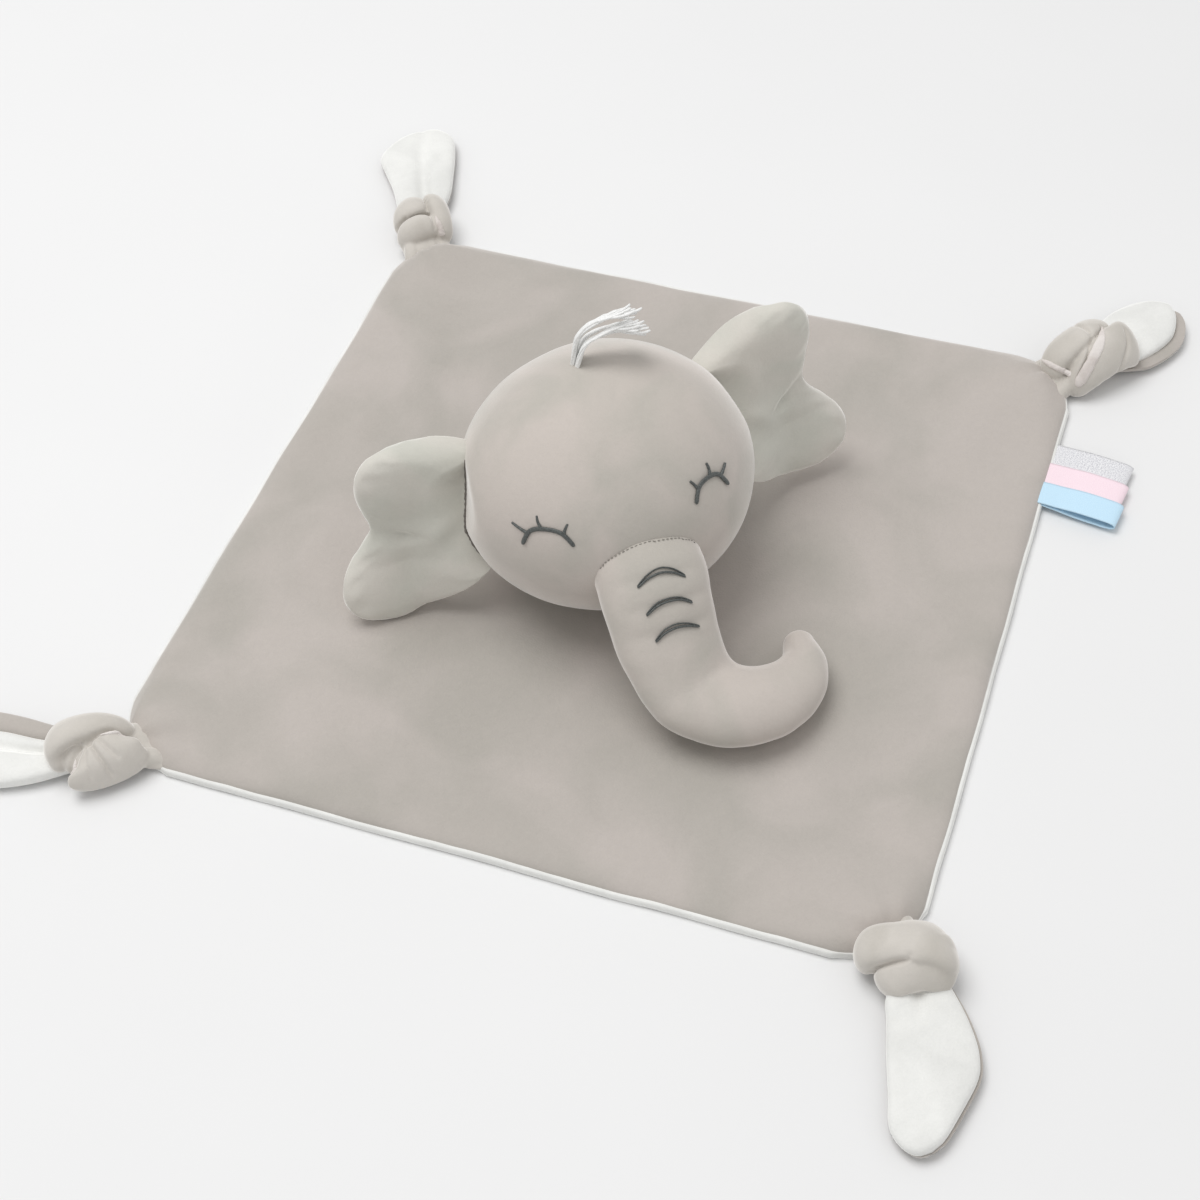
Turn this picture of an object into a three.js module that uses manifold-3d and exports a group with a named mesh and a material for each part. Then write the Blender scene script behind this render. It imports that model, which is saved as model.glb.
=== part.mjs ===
// A comfort blanket: a two-layer velour square with four knotted corners, a stuffed elephant head
// sewn to its middle, and three ribbon loops in one side seam. Millimetres, +Z up, the origin at the
// centre of the underside, the elephant looking along -Y.
import * as THREE from "three";
import { mergeVertices } from "three/addons/utils/BufferGeometryUtils.js";
import Module from "manifold-3d";

const wasm = await Module();
wasm.setup();

const quarterTurn = Math.PI / 2;
const fullTurn = Math.PI * 2;
const degree = Math.PI / 180;
const upward = new THREE.Vector3(0, 0, 1);

// Driving sizes

const clothGap = 0.3; // between pieces that lie on each other
const weldShare = 0.0000004; // of the side, closer points are one point

const blanket = {
  side: 280,
  neckInset: 13.5, // from the sewn corner to the flat end that its neck starts from
  liningThickness: 2.4,
  coverThickness: 3.4,
  seamLip: 0.8, // thickness of the cover at the side seam
  seamRoll: 1.3, // the lining stands this far past the cover
  edgeRound: 8,
  dentDepth: 1.7,
  gatherDepth: 1.2,
  gatherReach: 42,
};

const head = {
  width: 104,
  depth: 98,
  height: 88,
  centreX: -6.6,
  centreY: -3.5,
  turn: -3.5 * degree,
  roll: -2.2 * degree,
  flattening: 1.2, // how far its underside is pressed flat
  wall: 1.6,
  earFlat: 6, // how far each side is drawn in flat at the ear seam
  earFlatCrown: 1,
};

const neckStitch = { diameter: 1, opening: 22 };

const ear = {
  seamHeight: 40,
  middleRise: 41.8, // the middle of its seam stands this far over the blanket
  seamLean: 0.5, // share of the height by which the seam leans back
  seamTurn: 9 * degree,
  reach: 50, // from the head's side to the lower lobe's tip
  height: 79,
  thickness: 13,
  rootRadius: 2.2,
  wall: 1.4,
  outerBack: 14.5, // the outer edge lies this far behind the head's centre
  settle: 9.6, // its foot comes this far forwards of that
};

const trunk = {
  rootWidth: 38,
  rootHeight: 29,
  wall: 1.5,
  tipRadius: 6.5,
};

const stitch = { thickness: 1.1 };

// Shares of the head's width and height
const eye = {
  apartShare: 0.545,
  centreShare: -0.048,
  heightShare: 0.193,
  liftShare: 0.016, // one sits this much above that height and the other below it
  widthShare: 0.139,
  riseShare: 0.074,
};

const yarn = { diameter: 1.3, length: 30, rootX: -3, rootY: 14 };

const ribbon = {
  width: 10,
  pitch: 10.6,
  length: 27,
  foldHeight: 3.6,
  thickness: 0.6,
  rootThickness: 1.6,
  along: 81, // from the middle of the side towards the right corner
  lean: -8 * degree,
};

const knot = {
  width: 30,
  length: 27,
  height: 25,
  middle: 13.5, // from its neck's hinge line
  clear: 1.3, // its body starts this far out, to lift past the blanket's edge
  pressed: 0.5, // flat where it rests
  neckWidth: 26,
  neckLength: 6,
  neckRadius: 2.5,
  throatWidth: 19,
  throatHeight: 14,
  bandWidth: 14,
  bandThickness: 8,
  bandTilt: 14 * degree,
  secondBandShare: 0.86, // of the first band, round the knot
  endFlat: 2.5,
};

const tail = {
  length: 45,
  width: 28.5,
  rootWidth: 20,
  rootRadius: 3.4,
  rootHeight: 5.2,
  thickness: 8,
};

// heading counts quarter turns. The knot turns at its neck, its end face turns from that, and the
// tail bends from there. lengthShare is of the tail's length, upperShare of its width.
const corners = [
  {
    name: "front", heading: -1, twist: 1, whiteUp: true,
    knotTurn: -8 * degree, endTurn: -8 * degree, tailBend: -22 * degree, lengthShare: 1, upperShare: 1,
  },
  {
    name: "right", heading: 0, twist: -1, whiteUp: true,
    knotTurn: -7 * degree, endTurn: 18 * degree, tailBend: 8 * degree, lengthShare: 0.76, upperShare: 1,
  },
  {
    name: "back", heading: 1, twist: 1, whiteUp: true,
    knotTurn: -16 * degree, endTurn: -6 * degree, tailBend: -8 * degree, lengthShare: 1.06, upperShare: 1,
  },
  {
    name: "left", heading: 2, twist: -1, whiteUp: false,
    knotTurn: -4 * degree, endTurn: -22 * degree, tailBend: -12 * degree, lengthShare: 1, upperShare: 0.5,
  },
];

// Worked out sizes

const cornerReach = blanket.side * Math.SQRT1_2;
const neckFaceAt = cornerReach - blanket.neckInset;
const blanketTop = blanket.liningThickness + blanket.coverThickness;
const halfWidth = head.width / 2;
const halfDepth = head.depth / 2;
const halfHeight = head.height / 2;
const headCentreZ = blanketTop + clothGap + halfHeight - head.flattening;
const headRestZ = blanketTop + clothGap - headCentreZ; // in the head's own frame
const touchZ = headRestZ; // the lowest that anything on the head reaches

const colours = {
  blanketGrey: 0xbdb4ae,
  headGrey: 0xc8c5be,
  white: 0xf1f1ee,
  fill: 0xfafafa,
  thread: 0x4a4d4b,
  paleThread: 0xb8b4ae,
  silver: 0xe2e2e6,
  pink: 0xf2e0e8,
  blue: 0xbfe3fa,
};

// Closed meshes

// Joins triangles given as points into one closed geometry whose faces point out
function closedGeometry(triangles) {
  const loose = new THREE.BufferGeometry();
  const flat = triangles.flat().flatMap((point) => [point.x, point.y, point.z]);
  loose.setAttribute("position", new THREE.Float32BufferAttribute(flat, 3));
  const merged = mergeVertices(loose, blanket.side * weldShare);
  const source = merged.index.array;
  const kept = [];
  for (let i = 0; i < source.length; i += 3) {
    const [a, b, c] = source.slice(i, i + 3);
    if (a !== b && b !== c && a !== c) kept.push(a, b, c);
  }
  if (signedVolume(merged.attributes.position, kept) < 0) kept.reverse();
  merged.setIndex(kept);
  merged.computeVertexNormals();
  return merged;
}

function signedVolume(position, index) {
  const [a, b, c] = [new THREE.Vector3(), new THREE.Vector3(), new THREE.Vector3()];
  let sum = 0;
  for (let i = 0; i < index.length; i += 3) {
    a.fromBufferAttribute(position, index[i]);
    b.fromBufferAttribute(position, index[i + 1]);
    c.fromBufferAttribute(position, index[i + 2]);
    sum += a.dot(b.cross(c));
  }
  return sum;
}

// A closed skin through rings of points. A ring of one point closes an end.
function skin(rings, endless = false) {
  const triangles = [];
  const spans = endless ? rings.length : rings.length - 1;
  for (let i = 0; i < spans; i += 1) {
    const near = rings[i];
    const far = rings[(i + 1) % rings.length];
    const count = Math.max(near.length, far.length);
    for (let k = 0; k < count; k += 1) {
      const [a, b] = [near[k % near.length], near[(k + 1) % near.length]];
      const [c, d] = [far[k % far.length], far[(k + 1) % far.length]];
      triangles.push([a, b, d], [a, d, c]);
    }
  }
  return closedGeometry(triangles);
}

function solidOf(geometry) {
  const bare = geometry.clone();
  bare.deleteAttribute("normal");
  return new wasm.Manifold(new wasm.Mesh({
    numProp: 3,
    vertProperties: new Float32Array(bare.attributes.position.array),
    triVerts: new Uint32Array(bare.index.array),
  }));
}

function geometryOf(solid) {
  const mesh = solid.getMesh();
  const geometry = new THREE.BufferGeometry();
  geometry.setAttribute("position", new THREE.Float32BufferAttribute(mesh.vertProperties, 3));
  geometry.setIndex(Array.from(mesh.triVerts));
  geometry.computeVertexNormals();
  return geometry;
}

// Everything on one side of a plane: low and high are the corners of the box that is cut away
function boxSolid(low, high) {
  const size = high.clone().sub(low);
  const middle = low.clone().add(high).multiplyScalar(0.5);
  const box = new THREE.BoxGeometry(size.x, size.y, size.z).translate(middle.x, middle.y, middle.z);
  box.deleteAttribute("normal");
  box.deleteAttribute("uv");
  return solidOf(mergeVertices(box));
}

function piece(name, geometry, colour, roughness = 0.95) {
  const material = new THREE.MeshStandardMaterial({ color: colour, roughness, metalness: 0 });
  const mesh = new THREE.Mesh(geometry, material);
  mesh.name = name;
  return mesh;
}

// A group that turns about a point, holding meshes that were made in its parent's frame
function hinged(name, at, ...children) {
  const group = new THREE.Group();
  group.name = name;
  group.position.copy(at);
  children.forEach((child) => child.position.sub(at));
  if (children.length) group.add(...children);
  return group;
}

function smooth(value) {
  const t = THREE.MathUtils.clamp(value, 0, 1);
  return t * t * (3 - 2 * t);
}

// The round edge of a padded form: 0 at its edge, 1 from where its rounding ends
function roundShare(value) {
  const t = 1 - THREE.MathUtils.clamp(value, 0, 1);
  return Math.sqrt(1 - t * t);
}

// Points round an ellipse in the plane of two directions
function ellipseRing(centre, across, up, count) {
  return Array.from({ length: count }, (_, k) => {
    const angle = (k / count) * fullTurn;
    return centre.clone().addScaledVector(across, Math.cos(angle)).addScaledVector(up, Math.sin(angle));
  });
}

// A thread along a smooth route, closed by a flat end at each end
function threadGeometry(route, radius, steps, sides) {
  const curve = new THREE.CatmullRomCurve3(route);
  const frames = curve.computeFrenetFrames(steps, false);
  const rings = [[curve.getPoint(0)]];
  for (let i = 0; i <= steps; i += 1) {
    const across = frames.normals[i].clone().multiplyScalar(radius);
    const up = frames.binormals[i].clone().multiplyScalar(radius);
    rings.push(ellipseRing(curve.getPointAt(i / steps), across, up, sides));
  }
  rings.push([curve.getPoint(1)]);
  return skin(rings);
}

// The blanket

const faceSteps = 4;
const sideSteps = 12;
const ringShares = [0.24, 0.44, 0.6, 0.72, 0.82, 0.9, 0.95, 0.98, 1];

// Centre and radius as shares of half a side, depth as a share of the deepest dent
const dentShares = [
  [-0.58, -0.28, 0.34, 1],
  [0.12, -0.95, 0.32, 0.9],
  [0.66, -0.42, 0.3, 0.8],
  [0.42, 0.78, 0.36, 1],
  [-0.52, 0.62, 0.34, 0.8],
  [-0.16, -0.86, 0.22, 0.6],
  [0.92, 0.12, 0.26, 0.7],
];

// The square's outline with its four corners cut flat, each side moved out by outset
function panelOutline(outset) {
  const halfFace = cornerReach + outset * Math.SQRT2 - neckFaceAt;
  const points = [];
  const pivot = new THREE.Vector2();
  for (let corner = 0; corner < 4; corner += 1) {
    const turn = corner * quarterTurn;
    for (let k = 0; k < faceSteps; k += 1) {
      const across = halfFace * ((2 * k) / faceSteps - 1);
      points.push(new THREE.Vector2(neckFaceAt, across).rotateAround(pivot, turn));
    }
    const start = new THREE.Vector2(neckFaceAt, halfFace).rotateAround(pivot, turn);
    const end = new THREE.Vector2(neckFaceAt, -halfFace).rotateAround(pivot, turn + quarterTurn);
    for (let k = 0; k < sideSteps; k += 1) {
      points.push(start.clone().lerp(end, k / sideSteps));
    }
  }
  return points;
}

// 1 on the flat corner ends, where the cloth keeps its thickness into the neck
function cornerShare(index) {
  const within = index % (faceSteps + sideSteps);
  return within <= faceSteps ? 1 : 0;
}

function dentAt(x, y) {
  const half = blanket.side / 2;
  const depth = dentShares.reduce((sum, [cx, cy, radius, share]) => {
    const away = Math.hypot(x - cx * half, y - cy * half) / (radius * half);
    return sum + share * smooth(1 - away);
  }, 0);
  return Math.min(depth, 1) * blanket.dentDepth;
}

// Pleats that run into each neck
function gatherAt(x, y) {
  const along = Math.max(Math.abs(x), Math.abs(y));
  const across = Math.min(Math.abs(x), Math.abs(y));
  const fade = smooth(1 - (neckFaceAt - along) / blanket.gatherReach);
  const pitch = blanket.neckInset;
  const fold = (1 - Math.cos((across / pitch) * fullTurn)) / 2;
  return across < blanket.neckInset ? fade * fold * blanket.gatherDepth : 0;
}

function coverTopAt(point, share, index) {
  const fromEdge = (1 - share) * (blanket.side / 2);
  const edge = Math.max(roundShare(fromEdge / blanket.edgeRound), cornerShare(index));
  const sunk = (dentAt(point.x, point.y) + gatherAt(point.x, point.y)) * edge;
  const full = blanket.coverThickness - blanket.seamLip;
  return blanket.liningThickness + blanket.seamLip + full * edge - sunk;
}

function topPanelGeometry() {
  const outline = panelOutline(0);
  const rings = [[new THREE.Vector3(0, 0, blanketTop)]];
  for (const share of ringShares) {
    rings.push(outline.map((point, index) => {
      const at = point.clone().multiplyScalar(share);
      return new THREE.Vector3(at.x, at.y, coverTopAt(at, share, index));
    }));
  }
  rings.push(outline.map((point) => new THREE.Vector3(point.x, point.y, blanket.liningThickness)));
  rings.push([new THREE.Vector3(0, 0, blanket.liningThickness)]);
  return skin(rings);
}

function liningPanelGeometry() {
  const thick = blanket.liningThickness;
  const edge = (outset, z) => panelOutline(outset).map((p) => new THREE.Vector3(p.x, p.y, z));
  const inset = -blanket.seamRoll / 2;
  return skin([
    [new THREE.Vector3(0, 0, thick)],
    edge(blanket.seamRoll / 2, thick),
    edge(blanket.seamRoll, thick / 2),
    edge(inset, 0),
    [new THREE.Vector3(0, 0, 0)],
  ]);
}

// The head

function rolled(point) {
  return point.applyAxisAngle(new THREE.Vector3(0, 1, 0), head.roll);
}

// The outward direction and the line of an ear seam. side is -1 for the left ear, 1 for the right.
function seamFrame(side) {
  const along = new THREE.Vector3(-side * ear.seamLean / 3, ear.seamLean, 1).normalize();
  const outward = new THREE.Vector3(side * Math.cos(ear.seamTurn), Math.sin(ear.seamTurn), 0);
  outward.addScaledVector(along, -outward.dot(along)).normalize();
  return { along, outward };
}

// How far from the head's centre its side lies, flattened, in the direction of an ear seam
function seamFlatAt(side) {
  const { outward } = seamFrame(side);
  const reach = Math.hypot(outward.x * halfWidth, outward.y * halfDepth, outward.z * halfHeight);
  return reach - head.earFlat;
}

// A point of the ball before it is rolled and rests, inset from its surface, in a direction
function ballPoint(direction, inset) {
  const point = new THREE.Vector3(
    direction.x * (halfWidth - inset),
    direction.y * (halfDepth - inset),
    direction.z * (halfHeight - inset),
  );
  for (const side of [-1, 1]) {
    const { outward } = seamFrame(side);
    const beyond = point.dot(outward) - (seamFlatAt(side) - inset);
    if (beyond > 0) {
      const crown = head.earFlatCrown;
      point.addScaledVector(outward, crown * Math.tanh(beyond / crown) - beyond);
    }
  }
  return point;
}

function headPoint(direction, inset = 0) {
  const point = rolled(ballPoint(direction, inset));
  point.z = Math.max(point.z, headRestZ + inset);
  return point;
}

// A ring of the ball at an angle down from its crown
function headRing(angle, inset, count) {
  return Array.from({ length: count }, (_, k) => {
    const around = (k / count) * fullTurn;
    const direction = new THREE.Vector3(
      Math.sin(angle) * Math.cos(around),
      Math.sin(angle) * Math.sin(around),
      Math.cos(angle),
    );
    return headPoint(direction, inset);
  });
}

function headRings(inset, steps, count, lastAngle) {
  const rings = [[headPoint(upward, inset)]];
  for (let i = 1; i <= steps; i += 1) {
    rings.push(headRing((i / steps) * lastAngle, inset, count));
  }
  return rings;
}

const neckOpenAngle = Math.PI - Math.asin(neckStitch.opening / head.width);

function headCoverGeometry() {
  const outer = headRings(0, 15, 26, neckOpenAngle);
  const inner = headRings(head.wall, 10, 26, neckOpenAngle);
  return skin([...outer, ...inner.reverse()]);
}

function headStuffingGeometry() {
  const rings = headRings(head.wall + clothGap, 10, 26, neckOpenAngle);
  const low = headPoint(upward.clone().negate(), head.wall + clothGap);
  return skin([[low], ...rings.reverse()]);
}

// The whole ball, grown by a gap, to cut what is sewn against it
function headEnvelope(grow) {
  const rings = headRings(-grow, 18, 36, neckOpenAngle);
  return solidOf(skin([...rings, [headPoint(upward.clone().negate(), -grow)]]));
}

// Where the ball's underside stands clear enough for the ring of stitches
function neckStitchRadii() {
  const rise = head.flattening + neckStitch.diameter + 2 * clothGap;
  const share = Math.sqrt(1 - (1 - rise / halfHeight) ** 2);
  return [halfWidth * share, halfDepth * share];
}

// The rolled ball's lowest point lies to one side of its centre
function restShift() {
  const [s, c] = [Math.sin(head.roll), Math.cos(head.roll)];
  const lowest = Math.hypot(halfWidth * s, halfHeight * c);
  return ((halfWidth ** 2 - halfHeight ** 2) * s * c) / lowest;
}

function neckStitchGeometry() {
  const [a, b] = neckStitchRadii();
  const radius = neckStitch.diameter / 2;
  const z = headRestZ + radius;
  const steps = 24;
  const rings = [];
  for (let i = 0; i < steps; i += 1) {
    const angle = (i / steps) * fullTurn;
    const outward = new THREE.Vector3(Math.cos(angle), Math.sin(angle), 0);
    const centre = new THREE.Vector3(a * outward.x - restShift(), b * outward.y, z);
    const across = outward.clone().multiplyScalar(radius);
    rings.push(ellipseRing(centre, across, upward.clone().multiplyScalar(radius), 5));
  }
  return skin(rings, true);
}

// The ears

// Outer edge of an ear from the seam's top round to its foot: shares of the reach and of the height
const earOutlineShares = [
  [-0.06, 0.24], [0.08, 0.27], [0.18, 0.33], [0.29, 0.42], [0.4, 0.475], [0.52, 0.48], [0.64, 0.43],
  [0.72, 0.33], [0.74, 0.22], [0.72, 0.09], [0.71, -0.03], [0.77, -0.115], [0.86, -0.19], [0.96, -0.27],
  [1, -0.36], [0.93, -0.45], [0.75, -0.505], [0.54, -0.525], [0.37, -0.485], [0.2, -0.385], [0.03, -0.25],
];
const earLobeShare = 0.46; // of the way round, where the waist lies between the lobes
const earCreaseShare = 0.4; // of its thickness, lost in the crease at the waist
const earCreaseWideShare = 0.07; // of the way round
const earGrowShare = 0.45; // of the way out, over which it grows to its full thickness
const earEdgeShare = 0.55; // of the way out, over which it rounds off
const earRootShares = [0.6, 0.3]; // turns of the rounding at the seam, outside and inside
const earRingShares = [0.12, 0.28, 0.46, 0.64, 0.8, 0.92, 1];

// The seam's line on the head's flattened side, and the hinge line in front of it
function seamMiddle(side, out) {
  const { along, outward } = seamFrame(side);
  const middle = outward.clone().multiplyScalar(seamFlatAt(side) + head.earFlatCrown + out);
  return middle.addScaledVector(along, (touchZ + ear.middleRise - middle.z) / along.z);
}

function earHinge(side) {
  return seamMiddle(side, clothGap + ear.rootRadius);
}

// How far the ear's middle sheet lies behind the seam's own plane
function earBackAt(out, height, seamY) {
  const blendOut = smooth(out / (ear.reach / 2));
  const low = Math.max(0, -height - ear.height / 5) / (ear.height / 3);
  const outer = ear.outerBack - ear.settle * Math.min(low, 1);
  return seamY * (1 - blendOut) + outer * blendOut;
}

// A point of the ear: out from the seam to the edge by t, round it by v, on the front or back face
function earPoint(side, t, v, face, inset) {
  const hinge = earHinge(side);
  const { along } = seamFrame(side);
  const edgeInset = 1 - inset / (ear.thickness * 1.5);
  const round = earOutline.getPoint(v);
  const seamAt = ear.seamHeight * (0.5 - v);
  const seam = hinge.clone().addScaledVector(along, seamAt * edgeInset);
  const out = round.x * t * edgeInset;
  const height = THREE.MathUtils.lerp(seam.z, round.y * edgeInset, t);
  const seamY = hinge.y + (height - hinge.z) * (along.y / along.z);
  const full = earFullness(t, v) * (ear.thickness / 2 - inset);
  const x = THREE.MathUtils.lerp(seam.x, hinge.x + side * round.x * edgeInset, t);
  const point = new THREE.Vector3(x, earBackAt(out, height, seamY) + face * full, height);
  const rest = rolled(point);
  rest.z = Math.max(rest.z, touchZ + clothGap + inset);
  return rest;
}

const earOutline = new THREE.SplineCurve(
  earOutlineShares.map(([out, up]) => new THREE.Vector2(out * ear.reach, up * ear.height)),
);

// Plump between its edges, thin at the seam, with a crease at the waist
function earFullness(t, v) {
  const rootShare = (2 * ear.rootRadius) / ear.thickness;
  const across = Math.sqrt(Math.max(0, 1 - (2 * v - 1) ** 2));
  const grown = THREE.MathUtils.lerp(rootShare, 1, smooth(t / earGrowShare));
  const closed = roundShare((1 - t) / earEdgeShare);
  const crease = 1 - earCreaseShare * t * Math.exp(-(((v - earLobeShare) / earCreaseWideShare) ** 2));
  return Math.min(1, across * 1.25) * grown * closed * crease;
}

function earRing(side, t, inset, steps, root = 0) {
  const front = [];
  const back = [];
  for (let k = 0; k <= steps; k += 1) {
    const v = k / steps;
    front.push(earPoint(side, t, v, -1, inset));
    if (k > 0 && k < steps) back.unshift(earPoint(side, t, v, 1, inset));
  }
  const ring = [...front, ...back];
  return root ? ring.map((point, k) => rootPoint(side, point, root)) : ring;
}

// The root's rounding, drawn in towards the head about the hinge line
function rootPoint(side, point, share) {
  const { along, outward } = seamFrame(side);
  const hinge = rolled(earHinge(side));
  const line = rolled(along.clone());
  const inward = rolled(outward.clone()).negate();
  const from = point.clone().sub(hinge);
  const onLine = hinge.clone().addScaledVector(line, from.dot(line));
  const radial = point.clone().sub(onLine);
  radial.addScaledVector(inward, -radial.dot(inward));
  const turn = share * quarterTurn;
  return onLine.addScaledVector(radial, Math.cos(turn))
    .addScaledVector(inward, ear.rootRadius * Math.sin(turn));
}

function earRings(side, inset, steps, shares) {
  const rings = shares.map((t) => earRing(side, t, inset, steps));
  return [earRing(side, 0, inset, steps), ...rings];
}

function earCoverGeometry(side) {
  const steps = 10;
  const outer = earRings(side, 0, steps, earRingShares);
  const inner = earRings(side, ear.wall, steps, earRingShares.slice(1));
  const [rootShare, mouthShare] = earRootShares;
  const root = earRing(side, 0, 0, steps, rootShare);
  const mouth = earRing(side, 0, ear.wall, steps, mouthShare);
  return skin([...outer.reverse(), root, mouth, ...inner]);
}

function earWaddingGeometry(side) {
  const rings = earRings(side, ear.wall + clothGap, 10, earRingShares.slice(1));
  return skin([[earPoint(side, 0, 0.5, 0, ear.wall)], ...rings]);
}

// The trunk

// The middle line, from inside the head to the curled tip: shares of the head's width, depth and
// height from its centre
const trunkRouteShares = [
  [-0.033, -0.367, 0.011], [-0.037, -0.48, -0.006], [-0.042, -0.571, -0.08], [-0.038, -0.673, -0.193],
  [-0.012, -0.79, -0.307], [0.029, -0.847, -0.339], [0.083, -0.888, -0.352], [0.177, -0.908, -0.368],
  [0.277, -0.88, -0.384], [0.34, -0.816, -0.395], [0.377, -0.74, -0.411],
];
// Half width and half height at each of those places, as shares of the root's
const trunkShares = [
  [1, 0.95], [1, 0.98], [1, 0.95], [1, 0.87], [0.97, 0.8], [0.93, 0.79], [0.88, 0.79], [0.79, 0.77],
  [0.68, 0.7], [0.56, 0.6], [0.42, 0.47],
];

const trunkCurve = new THREE.CatmullRomCurve3(
  trunkRouteShares.map(([x, y, z]) => new THREE.Vector3(x * head.width, y * head.depth, z * head.height)),
);
const trunkSize = new THREE.CatmullRomCurve3(
  trunkShares.map(([wide, high]) => new THREE.Vector3(wide, high, 0)),
);

// A point of the trunk's surface: along it by s, round it by an angle from its right side
function trunkPoint(s, angle, inset, shrink = 1, forward = 0) {
  const centre = trunkCurve.getPoint(s);
  const along = trunkCurve.getTangent(s);
  const size = trunkSize.getPoint(s);
  const side = along.clone().cross(upward).normalize();
  const up = side.clone().cross(along);
  const wide = ((trunk.rootWidth / 2) * size.x - inset) * shrink;
  const high = ((trunk.rootHeight / 2) * size.y - inset) * shrink;
  const point = centre.addScaledVector(along, forward)
    .addScaledVector(side, wide * Math.cos(angle))
    .addScaledVector(up, high * Math.sin(angle));
  point.z = Math.max(point.z, touchZ + clothGap + inset);
  return point;
}

const tipTurnShares = [0.4, 0.75];

function trunkRing(s, inset, count, shrink, forward) {
  return Array.from({ length: count }, (_, k) =>
    trunkPoint(s, (k / count) * fullTurn, inset, shrink, forward));
}

function trunkRings(inset, steps, count, start) {
  const rings = [];
  for (let i = 0; i <= steps; i += 1) {
    rings.push(trunkRing(start + ((1 - start) * i) / steps, inset, count));
  }
  const reach = trunk.tipRadius - inset;
  for (const share of tipTurnShares) {
    const angle = share * quarterTurn;
    rings.push(trunkRing(1, inset, count, Math.cos(angle), reach * Math.sin(angle)));
  }
  rings.push([trunkPoint(1, 0, inset, 0, reach)]);
  return rings;
}

function trunkCoverGeometry() {
  const outer = trunkRings(0, 15, 18, 0);
  const inner = trunkRings(trunk.wall, 11, 14, 0);
  const shell = solidOf(skin([[trunkCurve.getPoint(0)], ...outer]));
  const hollow = solidOf(skin([[trunkCurve.getPoint(0)], ...inner]));
  return geometryOf(shell.subtract(hollow).subtract(headEnvelope(clothGap)));
}

function trunkStuffingGeometry() {
  const inset = trunk.wall + clothGap;
  const rings = trunkRings(inset, 11, 14, 0);
  const solid = solidOf(skin([[trunkCurve.getPoint(0)], ...rings]));
  return geometryOf(solid.subtract(headEnvelope(2 * clothGap)));
}

// In the seam, at the top of the trunk's root
function trunkHinge() {
  const top = trunkPoint(0, quarterTurn, 0);
  return facePoint(top.x, top.z, clothGap / 2);
}

// Embroidery

// Where each trunk line lies along the trunk, its spread round it, and how far it bows up there
const trunkLineShares = [0.146, 0.213, 0.272];
const trunkLineSpreadShares = [0.37, 0.44, 0.515, 0.59, 0.66];
const trunkLineBowShares = [0, 0.016, 0.022, 0.016, 0];

function trunkLineGeometry(share) {
  const out = -(clothGap + stitch.thickness / 2);
  const route = trunkLineSpreadShares.map((spread, i) =>
    trunkPoint(share - trunkLineBowShares[i], Math.PI * spread, out));
  return threadGeometry(route, stitch.thickness / 2, 8, 5);
}

// Places on the eye, as shares of its width and rise: the lid, then its lashes
const lidShares = [[-0.51, -0.49], [-0.29, 0.34], [0, 0.63], [0.31, 0.57], [0.49, 0]];
const lashShares = [
  [[-0.35, 0.16], [-0.6, 0.36]],
  [[-0.06, 0.6], [-0.06, 1.12]],
  [[0.34, 0.52], [0.48, 1.03]],
];

// A point just clear of the face, at a place across and up from the head's centre
function facePoint(x, z, out) {
  const across = x / (halfWidth + out);
  const up = z / (halfHeight + out);
  const y = -Math.sqrt(Math.max(0, 1 - across * across - up * up));
  return rolled(ballPoint(new THREE.Vector3(across, y, up), -out));
}

function eyeGeometry(side) {
  const out = clothGap + stitch.thickness / 2;
  const middleShare = eye.centreShare + side * (eye.apartShare / 2);
  const levelShare = eye.heightShare + side * eye.liftShare;
  const place = ([x, z]) => facePoint(
    head.width * (middleShare - side * x * eye.widthShare),
    head.height * (levelShare + z * eye.riseShare),
    out,
  );
  const radius = stitch.thickness / 2;
  const lid = solidOf(threadGeometry(lidShares.map(place), radius, 10, 5));
  return geometryOf(lashShares.reduce(
    (made, lash) => made.add(solidOf(threadGeometry(lash.map(place), radius, 2, 5))),
    lid,
  ));
}

// The forelock

// Each strand's way from the root, as shares of its length
const strandShares = [
  [[0, 0, 0], [0.05, -0.01, 0.3], [0.16, -0.05, 0.5], [0.38, -0.1, 0.6], [0.62, -0.16, 0.66]],
  [[0.07, 0, 0], [0.15, -0.04, 0.24], [0.35, -0.1, 0.36], [0.58, -0.15, 0.38], [0.8, -0.2, 0.33]],
  [[0.02, -0.07, 0], [0.1, -0.12, 0.28], [0.28, -0.16, 0.42], [0.48, -0.2, 0.5], [0.68, -0.26, 0.5]],
  [[0.05, 0.07, 0], [0.12, 0.06, 0.28], [0.3, 0.02, 0.43], [0.52, 0, 0.5], [0.74, -0.04, 0.48]],
  [[0.1, 0.08, 0], [0.18, 0.08, 0.2], [0.36, 0.06, 0.29], [0.56, 0.03, 0.3], [0.78, 0, 0.24]],
];

function forelockRoot() {
  const [x, y] = [yarn.rootX, yarn.rootY];
  const z = Math.sqrt(1 - (x / halfWidth) ** 2 - (y / halfDepth) ** 2);
  return headPoint(new THREE.Vector3(x / halfWidth, y / halfDepth, z));
}

function strandGeometry(shares) {
  const root = forelockRoot();
  const lift = clothGap + yarn.diameter / 2;
  const route = shares.map(([x, y, z]) => {
    const at = new THREE.Vector3(x, y, z).multiplyScalar(yarn.length).add(root);
    at.z += lift;
    return at;
  });
  return threadGeometry(route, yarn.diameter / 2, 8, 5);
}

// A tied corner. Its frame: +X out along the corner, the hinge of its neck at the origin.

const neckAxisZ = clothGap + knot.neckRadius;
const knotFloor = -neckAxisZ;

const neckStationShares = [-1, -0.7, 0, 0.3, 0.6, 1, 1.8];
const pleatShare = 0.1;

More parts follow.
